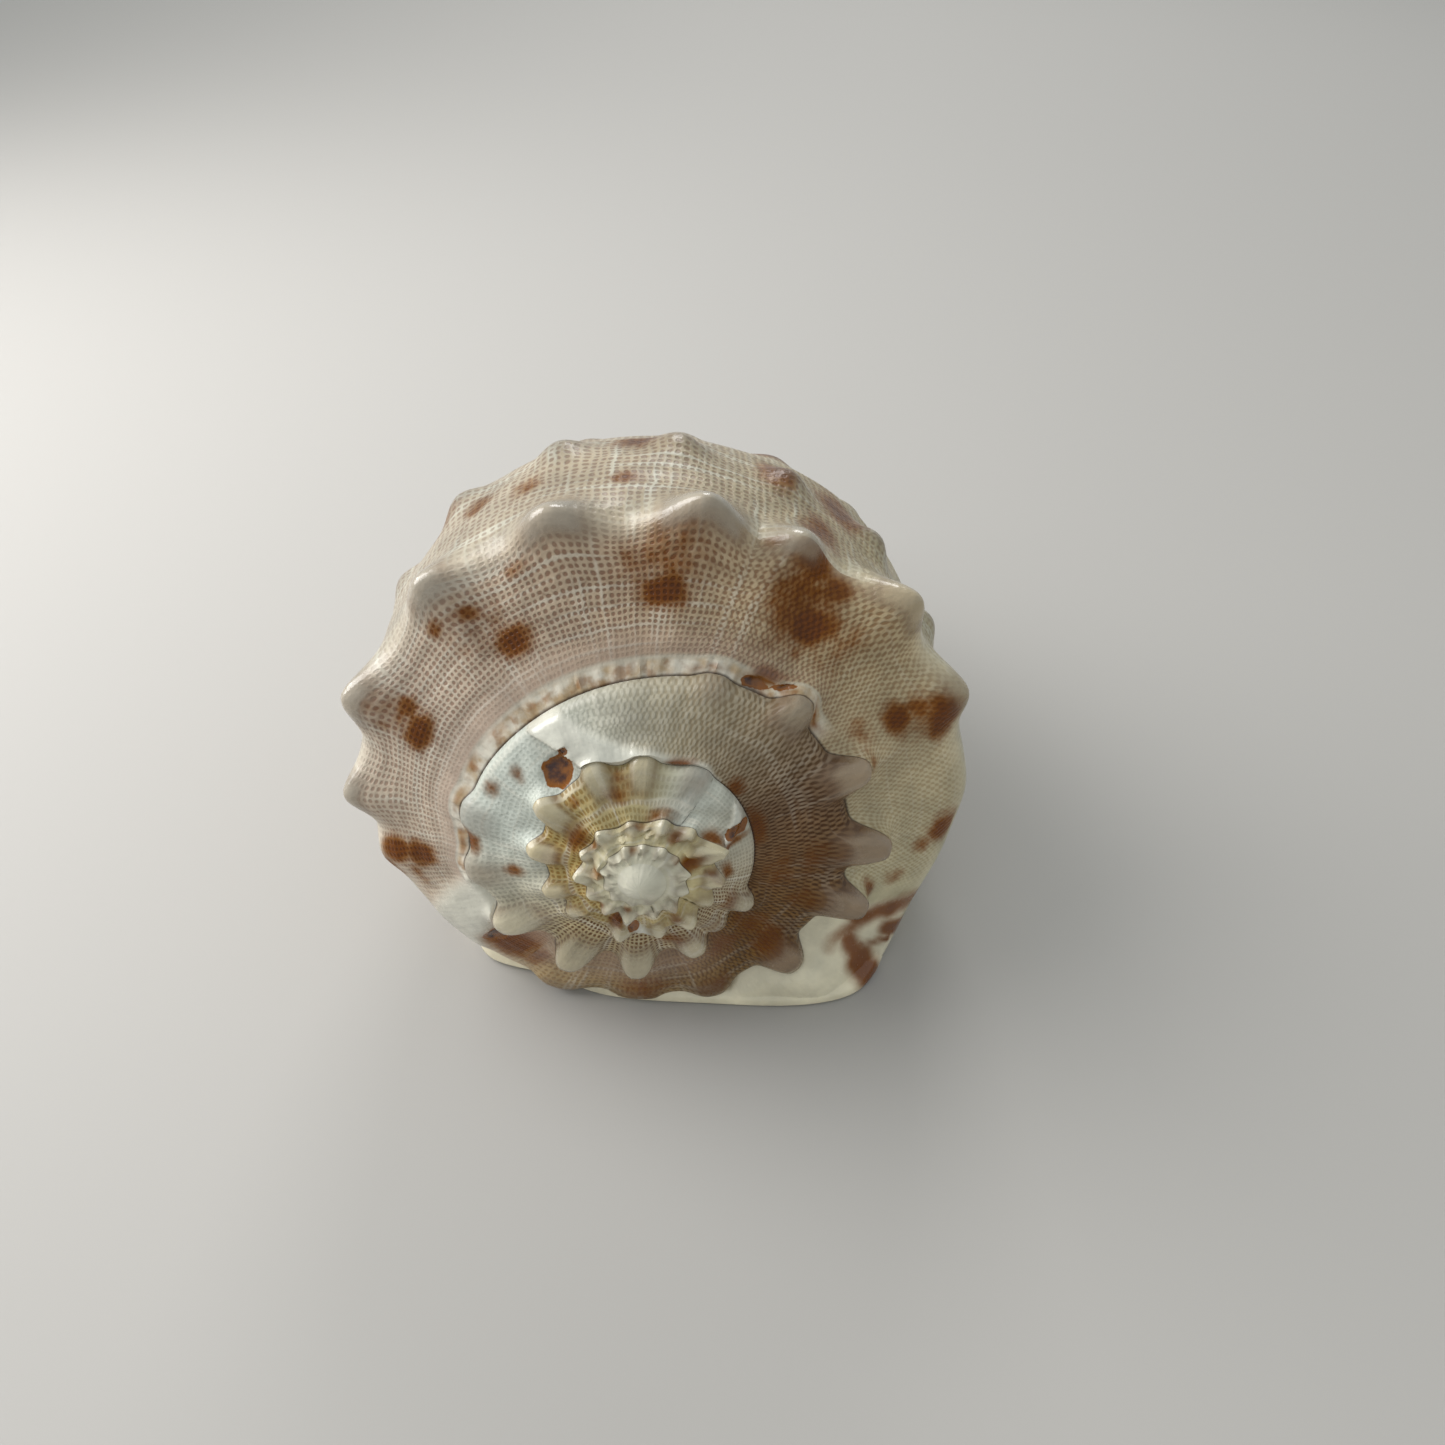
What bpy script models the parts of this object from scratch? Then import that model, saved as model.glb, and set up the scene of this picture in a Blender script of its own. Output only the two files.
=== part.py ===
# A large helmet shell lying on its flat underside, with the spire facing -Y and the
# siphon end facing +Y. One natural piece, so one closed solid.
# Lengths in the tables are millimetres; Blender works in metres.
import math

import bmesh
import bpy
import numpy as np
from mathutils import Vector

MM = 0.001

# The coil. Angles are degrees of growth, clockwise seen from the spire, and 0 is the top of the back.
LIP_ANGLE = 163.0
FIRST_ANGLE = LIP_ANGLE - 5.0 * 360.0
CROWN_RADIUS = 73.0  # axis to the log spiral that runs near the knob tips, at the top of the back
GROWTH_PER_TURN = 1.64
SPIRE_SLOPE = 0.378  # drop of the shoulder below the apex for each mm of spiral radius
# Step down at the edge of each whorl but the last, as a share of the spiral radius.
EDGE_DROP = [(-1637, 0.035), (-700, 0.045), (-420, 0.05), (-215, 0.05), (-165, 0.0), (163, 0.0)]

# Shoulder radius between the knobs, as a share of the spiral radius, by angle of growth.
SHOULDER = [
    (-1820, 0.80), (-1440, 0.80), (-1200, 0.82), (-1144, 0.78), (-1100, 0.71), (-1061, 0.72),
    (-1029, 0.80), (-980, 0.82), (-900, 0.84), (-851, 0.85), (-814, 0.84), (-784, 0.86),
    (-751, 0.89), (-717, 0.85), (-683, 0.86), (-640, 0.79), (-587, 0.77), (-555, 0.83),
    (-520, 0.87), (-490, 0.92), (-470, 0.97), (-450, 0.95), (-430, 0.92), (-400, 0.86),
    (-360, 0.86), (-340, 0.89), (-306, 0.90), (-282, 0.885), (-252, 0.90), (-229, 0.87),
    (-197, 0.90), (-150, 0.94), (-120, 0.955), (-90, 0.965), (-51, 0.98), (-25, 0.975),
    (0, 0.94), (20, 0.92), (38, 0.93), (57, 0.92), (80, 0.90), (95, 0.887), (105, 0.875),
    (118, 0.872), (128, 0.887), (133, 0.89), (139, 0.86), (150, 0.78), (163, 0.70),
]
# Near the lip the shoulder bends towards the apex and runs along the table.
SHOULDER_DEPTH = [(100, 1.0), (128, 0.92), (133, 0.81), (139, 0.66), (150, 0.62), (163, 0.63)]

# Rounding of the last whorl's shoulder, as a share of the spiral radius, and which way it goes: out, down.
CORNER_ROUND = 0.12
CORNER_TURN = (-0.38, 0.29)
CORNER_FROM, CORNER_OVER = -200, 50  # degrees over which it starts

# Knobs along the shoulder: angle, height as a share of the spiral radius, half width in degrees.
ROUND_KNOBS = [
    (-100, 0.03, 5.5), (-84, 0.08, 5.5), (-63, 0.092, 6), (-37, 0.075, 6.5), (-13, 0.095, 6.5),
    (12, 0.141, 7), (27, 0.08, 5.5), (47, 0.095, 6), (67, 0.06, 5.5), (88, 0.015, 7),
]
FINGER_KNOBS = [
    (-338, 0.03, 5), (-314, 0.11, 5.2), (-289, 0.155, 5.4), (-265, 0.185, 5.4), (-245, 0.175, 5.0),
    (-220, 0.14, 5.8), (-197, 0.06, 6), (-176, 0.05, 6.5), (-155, 0.04, 6.5),
    (-599, 0.10, 6), (-579, 0.05, 6), (-562, 0.125, 7), (-536, 0.19, 7.2), (-511, 0.20, 7.2),
    (-485, 0.15, 6.5), (-461, 0.06, 6), (-438, 0.05, 6),
    (-851, 0.09, 6), (-830, 0.12, 6), (-801, 0.14, 7), (-774, 0.16, 7), (-741, 0.11, 7),
    (-717, 0.09, 7), (-690, 0.05, 7),
]
ROUND_POWER = 1.9
FINGER_POWER = 3.0
SPIRE_KNOB_STEP = 25
SPIRE_KNOBS = [(angle, 0.12, 7.5) for angle in range(-1585, -880, SPIRE_KNOB_STEP)]
# How much a knob rises for each mm that it stands out, and how far it reaches in from the edge.
KNOB_LIFT = [(-1637, 0.8), (-900, 0.6), (-560, 0.3), (-330, 0.12), (-200, 0.15), (-120, 0.75), (163, 0.75)]
KNOB_REACH = [(-1637, 0.16), (-900, 0.16), (-560, 0.17), (-250, 0.12), (-120, 0.11), (163, 0.11)]
KNOB_FALL = 0.10  # how far it reaches down the last whorl
# The next whorl's shelf follows these knobs over this first share of its width.
FOLLOW = [(-1637, 0.6), (-420, 0.5), (-230, 0.45), (-150, 0.6), (163, 0.6)]
FOLLOW_POWER = 1.6
# Shares of the shelf: over which knobs, corner and ribs fade in, and where the edge turns down.
KNOB_FADE, CORNER_FADE, RIB_FADE = 0.25, 0.3, 0.1
EDGE_TURN = 0.82
# Sag of the shelf on the old whorls and on the last one, and its swell behind the lip, in spiral radii.
OLD_SAG, LAST_SAG, SAG_FROM, SAG_OVER = -0.010, 0.012, -140, 60
LIP_SWELL, LIP_SWELL_FROM, LIP_SWELL_OVER = 0.05, 122, 20

# Old lips, each a rib across the whorl: angle at the suture, how far back it leans, half width, height.
RIBS = [(-112, 14, 9.0, 0.022), (-637, 26, 4.5, 0.05), (-884, 18, 5.0, 0.04)]

# The last whorl below its shoulder: share of the way to the siphon end, share of the shoulder radius.
FLANK = [
    (0.0, 1.0), (0.08, 1.03), (0.2, 1.055), (0.32, 1.035), (0.45, 0.955), (0.57, 0.86),
    (0.7, 0.73), (0.82, 0.58), (0.92, 0.45), (1.0, 0.35),
]
# How much of that bulge the whorl has along its growth.
FLANK_SWELL = [(-197, 1.0), (-20, 1.0), (10, 0.8), (30, 0.3), (55, 0.1), (80, 0.6), (110, 1.0)]
FLANK_END = 160.0
SIDE_FLATNESS = 0.075  # how much less the last whorl bulges at its sides than on its back
FLAT_MIDDLE, FLAT_HALF_WIDTH, FLAT_FADE = 0.3, 0.25, 0.1  # where that is, as shares of the way down
# Lower rows of knobs: share of the way down, height as a share of the spiral radius, half width.
LOWER_ROWS = [(0.25, 0.045, 0.05), (0.46, 0.025, 0.045)]
LOWER_KNOB_STEP = 20.0
LOWER_KNOB_START = 6.0

# How the coil lies: the apex end of the axis is tipped up, and the underside is flat.
AXIS_TILT = math.radians(12.0)
APEX_HEIGHT = 56.0
BELLY_HEIGHT = 2.0
FOOT_CENTRE = (8.0, 85.0)

# The foot: the rim that the shell rests on. Right, along, height of its rounded edge.
FOOT_RIM = [
    (15, 9, 4), (34, 8.5, 4), (47, 11, 4), (54, 17, 6), (59, 28, 10), (64, 42, 14), (71, 58, 17),
    (77, 76, 18), (78, 96, 18), (74, 116, 17), (63, 134, 15), (47, 148, 13), (30, 157, 12),
    (13, 162, 12), (-8, 162, 10), (-26, 155, 8), (-42, 141, 7), (-54, 123, 6), (-61, 103, 6),
    (-62, 84, 6), (-59, 66, 6), (-53, 48, 6), (-47, 33, 6), (-41, 22, 7), (-26, 17, 6),
    (-10, 11, 5),
]
RIM_POINTS_PER_SPAN = 2
# Across the rim from below: inset in mm, then inset and rise as shares of the rim's height.
RIM_PROFILE = [
    (2.2, 0.0, 0.0), (0.5, 0.0, 0.12), (0.0, 0.0, 0.32), (0.0, 0.16, 0.66), (0.0, 0.5, 0.92),
    (0.0, 1.0, 1.0), (0.0, 1.7, 0.8),
]

# The mouth: along, then its left and right edges on the underside.
MOUTH = [
    (30, 33, 38), (38, 28, 42), (50, 24, 42), (64, 20, 40), (80, 16, 37), (96, 12, 33),
    (112, 8, 28), (126, 4, 22), (138, 1, 16), (150, 0, 11), (158, 0, 9),
]
TOOTH_COUNT = 11
TOOTH_SPAN = (46.0, 138.0)
TOOTH_DEPTH = 3.2
FOLD_DEPTH = 1.6
MOUTH_STATIONS = 48

# The mouth's walls from below: height, how much of the teeth, how much wider.
THROAT = [(-6, 1.0, 0.0), (0.5, 1.0, 0.0), (5, 0.9, 0.5), (12, 0.0, 4.0)]

# The hollow behind the mouth, wound back up the right side and over the columella.
HOLLOW_ANGLES = [112, 96, 78, 60, 40, 20, 0, -20, -40, -56]
WALL = [(-56, 6.0), (78, 5.6), (96, 4.4), (112, 4.9)]  # thinner towards the outer lip
COLUMELLA = 17.0
HOLLOW_SHRINK = 0.6  # width at its inner end
HOLLOW_ENDS = (13.0, 128.0)  # from the shoulder, from the apex along the axis

# The siphon canal, bent up at the far end: right, along, up, radius.
CANAL = [
    (4, 132, 20, 19), (2, 144, 20, 20), (0, 154, 23, 19), (-3, 162, 29, 17), (-6, 167, 37, 14.5),
    (-9, 169, 45, 12.5), (-11, 169, 53, 11),
]
GROOVE = [
    (6, 142, -4, 5), (5, 152, 0, 5), (4, 163, 7, 5.5), (1, 172, 16, 6), (-3, 178, 28, 6.5),
    (-7, 180, 40, 7), (-10, 179, 50, 7.5), (-13, 176, 62, 8.5),
]
TUBE_SIDES = 20

ORIGIN = (6.9, 89.55, 0.0)  # the middle of the shell's box on the table, from the point below the apex
SHARP_ANGLE = math.radians(40.0)
ROWS_PER_TURN = 72
RAMP = [0.0, 0.16, 0.36, 0.56, 0.74, 0.90, 1.0]
FLANK_STEPS = [0.02, 0.06, 0.12, 0.19, 0.25, 0.32, 0.40, 0.48, 0.57, 0.67, 0.77, 0.87, 0.94, 1.0]


def smooth(table, at):
    """Reads a table of (place, value) along a smooth curve through its points."""
    places, values = np.array(table, float).T
    at = np.clip(np.asarray(at, float), places[0], places[-1])
    slopes = np.gradient(values, places)
    left = np.clip(np.searchsorted(places, at) - 1, 0, len(places) - 2)
    span = places[left + 1] - places[left]
    t = (at - places[left]) / span
    return (
        values[left] * (2 * t**3 - 3 * t**2 + 1)
        + slopes[left] * span * (t**3 - 2 * t**2 + t)
        + values[left + 1] * (3 * t**2 - 2 * t**3)
        + slopes[left + 1] * span * (t**3 - t**2)
    )


def level(table, at):
    """Reads a table along straight lines, for values that mustn't run past their neighbours."""
    return np.interp(at, *np.array(table, float).T)


def ease(t):
    t = np.clip(t, 0.0, 1.0)
    return t * t * (3 - 2 * t)


def spiral(angle):
    return CROWN_RADIUS * GROWTH_PER_TURN ** (np.asarray(angle, float) / 360.0)


def knob_share(angle):
    total = np.zeros_like(np.asarray(angle, float))
    for knobs, power in ((ROUND_KNOBS + SPIRE_KNOBS, ROUND_POWER), (FINGER_KNOBS, FINGER_POWER)):
        for centre, height, half_width in knobs:
            total = np.maximum(total, height * np.exp(-(np.abs((angle - centre) / half_width) ** power)))
    return total


def knob_hump(angle, away):
    """How much of a knob is left this far from the whorl's edge."""
    reach = np.where(away < 0, level(KNOB_REACH, angle), KNOB_FALL)
    return knob_share(angle) * np.exp(-((away / reach) ** 2))


def rib_share(angle, share):
    return sum(
        height * np.exp(-(((angle - start + lean * share) / half_width) ** 6))
        for start, lean, half_width, height in RIBS
    )


def shoulder_radius(angle):
    return spiral(angle) * smooth(SHOULDER, angle)


def shoulder_depth(angle):
    return SPIRE_SLOPE * spiral(angle) * smooth(SHOULDER_DEPTH, angle)


def suture_depth(angle):
    return shoulder_depth(angle) + spiral(angle) * level(EDGE_DROP, angle)


def corner_offset(angle, away):
    """Rounds the last whorl's shoulder: how far a point this far from it moves out and down."""
    size = spiral(angle) * ease((angle - CORNER_FROM) / CORNER_OVER)
    cut = size * (np.sqrt(away**2 + CORNER_ROUND**2) - np.abs(away))
    return CORNER_TURN[0] * cut, CORNER_TURN[1] * cut


def whorl_edge(angle):
    """Radius and depth where the next whorl meets this one."""
    size, knob = spiral(angle), knob_share(angle)
    round_out, round_down = corner_offset(angle, 0.0)
    radius = shoulder_radius(angle) + size * knob + round_out
    return radius, suture_depth(angle) - size * knob * level(KNOB_LIFT, angle) + round_down


def ramp_point(angle, share):
    """Radius and depth on the sloping shelf of a whorl, from its suture (0) to its edge (1)."""
    first_turn = angle < FIRST_ANGLE + 360.0
    before = angle - 360.0
    edge, edge_depth = whorl_edge(before)
    even, even_depth = shoulder_radius(before), suture_depth(before)
    follow = np.clip(1 - share / level(FOLLOW, angle), 0, 1) ** FOLLOW_POWER
    inner = np.where(first_turn, 0.0, even + (edge - even) * follow)
    inner_depth = np.where(first_turn, 0.0, even_depth + (edge_depth - even_depth) * follow)
    size, outer = spiral(angle), shoulder_radius(angle)
    away = (share - 1) * (outer - even) / size
    hump = knob_hump(angle, away) * ease(share / KNOB_FADE)
    round_out, round_down = np.array(corner_offset(angle, away)) * ease(share / CORNER_FADE)
    radius = inner + (outer - inner) * share + round_out + size * hump
    fall = np.where(first_turn, share**2, share)
    depth = inner_depth + (shoulder_depth(angle) - inner_depth) * fall + round_down
    turned = np.clip((share - EDGE_TURN) / (1 - EDGE_TURN), 0, 1)
    depth = depth + (suture_depth(angle) - shoulder_depth(angle)) * (1 - np.sqrt(1 - turned**2))
    ridge = rib_share(angle, share) * ease(share / RIB_FADE) * (1 - turned**4)
    sag = (OLD_SAG + (LAST_SAG - OLD_SAG) * ease((angle - SAG_FROM) / SAG_OVER)) * np.sin(np.pi * share)
    lip = LIP_SWELL * ease((angle - LIP_SWELL_FROM) / LIP_SWELL_OVER) * np.sin(np.pi * share)
    return radius, depth - size * (hump * level(KNOB_LIFT, angle) + ridge - sag + lip)


def flank_point(angle, share):
    """Radius and depth on the last whorl, from its shoulder (0) to the siphon end (1)."""
    size, start = spiral(angle), suture_depth(angle)
    away = share * (FLANK_END - start) / size
    hump = knob_hump(angle, away)
    round_out, round_down = corner_offset(angle, away)
    sideways = np.sin(np.radians(angle)) ** 2 * np.exp(-(((share - FLAT_MIDDLE) / FLAT_HALF_WIDTH) ** 2))
    sideways = sideways * ease(share / FLAT_FADE)
    profile = smooth(FLANK, share)
    profile = np.where(profile > 1, 1 + (profile - 1) * smooth(FLANK_SWELL, angle), profile)
    radius = shoulder_radius(angle) * (profile - SIDE_FLATNESS * sideways) + size * hump + round_out
    for row, height, half_width in LOWER_ROWS:
        beat = 0.5 + 0.5 * np.cos(2 * np.pi * (angle - LOWER_KNOB_START) / LOWER_KNOB_STEP)
        radius = radius + size * height * beat**2 * np.exp(-(((share - row) / half_width) ** 2))
    depth = start + (FLANK_END - start) * share + round_down * (1 - share)
    return radius, depth - size * hump * level(KNOB_LIFT, angle)


def in_place(angle, radius, depth, floor=BELLY_HEIGHT):
    """The coil's own measures as (right, along, up), with what would sink below the floor pressed flat."""
    turn = np.radians(angle)
    right = radius * np.sin(turn)
    lift = radius * np.cos(turn)
    along = depth * math.cos(AXIS_TILT) + lift * math.sin(AXIS_TILT)
    up = APEX_HEIGHT + lift * math.cos(AXIS_TILT) - depth * math.sin(AXIS_TILT)
    up = np.where(up < floor, floor + 0.02 * (up - floor), up)
    return np.stack([right, along, up], axis=-1)


def new_object(name, mesh_builder):
    mesh = bmesh.new()
    mesh_builder(mesh)
    bmesh.ops.translate(mesh, verts=mesh.verts, vec=-Vector(ORIGIN) * MM)
    bmesh.ops.recalc_face_normals(mesh, faces=mesh.faces)
    data = bpy.data.meshes.new(name)
    mesh.to_mesh(data)
    mesh.free()
    data.shade_smooth()
    data.set_sharp_from_angle(angle=SHARP_ANGLE)
    made = bpy.data.objects.new(name, data)
    bpy.context.scene.collection.objects.link(made)
    return made


def vertices(mesh, points):
    return [mesh.verts.new(Vector(point) * MM) for point in points]


def skin(mesh, one, other, closed=False):
    """Faces between two rows of vertices. Where a row repeats a vertex, the face is a triangle."""
    count = len(one)
    for i in range(count if closed else count - 1):
        j = (i + 1) % count
        corners = []
        for vertex in (one[i], one[j], other[j], other[i]):
            if vertex not in corners:
                corners.append(vertex)
        if len(corners) > 2:
            mesh.faces.new(corners)


def build_coil(mesh):
    turns = (LIP_ANGLE - FIRST_ANGLE) / 360.0
    angles = FIRST_ANGLE + np.arange(round(turns * ROWS_PER_TURN) + 1) * 360.0 / ROWS_PER_TURN
    last_turn = len(angles) - 1 - ROWS_PER_TURN
    apex = mesh.verts.new(Vector(in_place(0.0, 0.0, 0.0)) * MM)
    rows = []
    for index, angle in enumerate(angles):
        if index < ROWS_PER_TURN:
            suture = apex
        else:
            suture = rows[index - ROWS_PER_TURN][len(RAMP) - 1]
        points = [in_place(angle, *ramp_point(angle, share)) for share in RAMP[1:]]
        if index >= last_turn:
            points += [in_place(angle, *flank_point(angle, share)) for share in FLANK_STEPS]
        rows.append([suture] + vertices(mesh, points))
    for index in range(len(rows) - 1):
        count = len(rows[index])
        skin(mesh, rows[index], rows[index + 1][:count])
    mesh.faces.new([*rows[0]])
    first, last = rows[last_turn], rows[-1]
    edge = len(RAMP) - 1
    wall = [first[edge]] * edge + first[edge:]
    skin(mesh, last, wall)
    tips = [row[-1] for row in rows[last_turn:]]
    centre = mesh.verts.new(sum((tip.co for tip in tips), Vector()) / len(tips))
    skin(mesh, tips, [centre] * len(tips), closed=True)


def rounded_loop(points, per_span):
    """A closed smooth curve through points, with per_span points on each span."""
    points = np.array(points, float)
    count = len(points)
    found = []
    for i in range(count):
        a, b, c, d = (points[(i + k) % count] for k in (-1, 0, 1, 2))
        for t in np.arange(per_span) / per_span:
            found.append(
                0.5 * (2 * b + (c - a) * t + (2 * a - 5 * b + 4 * c - d) * t**2 + (3 * b - a - 3 * c + d) * t**3)
            )
    return np.array(found)


def build_foot(mesh):
    rim = rounded_loop(FOOT_RIM, RIM_POINTS_PER_SPAN)
    outline, height = rim[:, :2], rim[:, 2:]
    centre = np.array(FOOT_CENTRE)
    inward = centre - outline
    inward = inward / np.linalg.norm(inward, axis=1, keepdims=True)
    rings = []
    for inset, inset_share, rise in RIM_PROFILE:
        flat = outline + inward * (inset + inset_share * height)
        rings.append(vertices(mesh, np.hstack([flat, rise * height])))
    for lower, upper in zip(rings, rings[1:]):
        skin(mesh, lower, upper, closed=True)
    for ring, level in ((rings[0], 0.0), (rings[-1], BELLY_HEIGHT + 1.5)):
        hub = mesh.verts.new(Vector((*centre, level)) * MM)
        skin(mesh, ring, [hub] * len(ring), closed=True)


def mouth_edge(along, side):
    table = [(row[0], row[side]) for row in MOUTH]
    return smooth(table, along)


def teeth(along):
    low, high = TOOTH_SPAN
    share = (along - low) / (high - low)
    fade = ease(share / 0.12) * ease((1 - share) / 0.12)
    return fade * np.sin(np.pi * TOOTH_COUNT * np.clip(share, 0, 1)) ** 2


def hollow_loop(angle, shrink):
    """A ring of the hollow in the plane at this angle: first along the columella, then along the wall."""
    count = MOUTH_STATIONS
    near_depth = shoulder_depth(angle) + HOLLOW_ENDS[0]
    depth = near_depth + (HOLLOW_ENDS[1] - near_depth) * np.linspace(0, 1, count)
    round_off = np.sqrt(np.clip(1 - (2 * np.linspace(0, 1, count) - 1) ** 4, 0, 1))
    share = (depth - suture_depth(angle)) / (FLANK_END - suture_depth(angle))
    outer = shoulder_radius(angle) * smooth(FLANK, share) - level(WALL, angle)
    middle = (outer + COLUMELLA) / 2
    half = (outer - COLUMELLA) / 2 * round_off * shrink + 0.6
    near = in_place(np.full(count, angle), middle - half, depth, floor=-100.0)
    far = in_place(np.full(count, angle), middle + half, depth, floor=-100.0)
    return np.concatenate([near, far[::-1]])


def build_hollow(mesh):
    along = np.linspace(MOUTH[0][0], MOUTH[-1][0], MOUTH_STATIONS)
    loops = []
    for up, bite, spread in THROAT:
        left = mouth_edge(along, 1) + bite * FOLD_DEPTH * teeth(along + 4.0) - 0.3 * spread
        right = mouth_edge(along, 2) - bite * TOOTH_DEPTH * teeth(along) + spread
        level = np.full(MOUTH_STATIONS, float(up))
        near = np.stack([left, along, level], axis=1)
        far = np.stack([right, along, level], axis=1)
        loops.append(np.concatenate([near, far[::-1]]))
    shrinks = np.linspace(1.0, HOLLOW_SHRINK, len(HOLLOW_ANGLES))
    loops += [hollow_loop(float(angle), shrink) for angle, shrink in zip(HOLLOW_ANGLES, shrinks)]
    rings = [vertices(mesh, loop) for loop in loops]
    for one, other in zip(rings, rings[1:]):
        skin(mesh, one, other, closed=True)
    mesh.faces.new(rings[0])
    mesh.faces.new(rings[-1])


def tube_builder(path):
    def build(mesh):
        path_points = np.array(path, float)
        centres, radii = path_points[:, :3], path_points[:, 3]
        headings = np.gradient(centres, axis=0)
        rings = []
        for centre, heading, radius in zip(centres, headings, radii):
            heading = Vector(heading).normalized()
            across = heading.cross(Vector((0, 0, 1))).normalized()
            over = across.cross(heading)
            ring = []
            for turn in np.arange(TUBE_SIDES) * 2 * math.pi / TUBE_SIDES:
                ring.append(Vector(centre) + (across * math.cos(turn) + over * math.sin(turn)) * radius)
            rings.append(vertices(mesh, ring))
        for one, other in zip(rings, rings[1:]):
            skin(mesh, one, other, closed=True)
        mesh.faces.new(rings[0])
        mesh.faces.new(rings[-1])

    return build


def combine(target, other, operation):
    other.hide_render = True
    other.display_type = "WIRE"
    step = target.modifiers.new(other.name, "BOOLEAN")
    step.operation = operation
    step.object = other


def shell_material():
    made = bpy.data.materials.new("shell")
    made.use_nodes = True
    surface = made.node_tree.nodes["Principled BSDF"]
    surface.inputs["Base Color"].default_value = (0.62, 0.47, 0.38, 1)
    surface.inputs["Roughness"].default_value = 0.35
    surface.inputs["Metallic"].default_value = 0.0
    return made


def main():
    for old in list(bpy.data.objects):
        bpy.data.objects.remove(old)
    shell = new_object("helmet_shell", build_coil)
    combine(shell, new_object("foot_form", build_foot), "UNION")
    combine(shell, new_object("canal_form", tube_builder(CANAL)), "UNION")
    combine(shell, new_object("hollow_cutter", build_hollow), "DIFFERENCE")
    combine(shell, new_object("groove_cutter", tube_builder(GROOVE)), "DIFFERENCE")
    shell.data.materials.append(shell_material())


main()
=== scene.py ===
import math

import bmesh
import bpy
import numpy as np
from mathutils import Matrix, Vector, noise


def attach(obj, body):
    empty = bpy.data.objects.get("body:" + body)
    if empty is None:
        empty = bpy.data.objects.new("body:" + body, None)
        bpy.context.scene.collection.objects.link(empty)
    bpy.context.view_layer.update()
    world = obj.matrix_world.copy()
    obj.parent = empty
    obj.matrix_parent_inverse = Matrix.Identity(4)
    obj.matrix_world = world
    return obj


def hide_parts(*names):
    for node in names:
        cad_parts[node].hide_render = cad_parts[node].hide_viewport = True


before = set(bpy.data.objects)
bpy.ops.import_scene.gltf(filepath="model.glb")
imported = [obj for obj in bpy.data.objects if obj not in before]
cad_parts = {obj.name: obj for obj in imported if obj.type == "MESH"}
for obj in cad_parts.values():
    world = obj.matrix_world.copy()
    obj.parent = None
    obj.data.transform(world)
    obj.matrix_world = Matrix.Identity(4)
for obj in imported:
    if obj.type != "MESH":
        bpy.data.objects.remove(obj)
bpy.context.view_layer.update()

# One piece: a large helmet shell on its flat underside. Lengths in the tables are millimetres,
# angles are degrees of growth, clockwise seen from the spire, and 0 is the top of the back.
mm = 0.001

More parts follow.
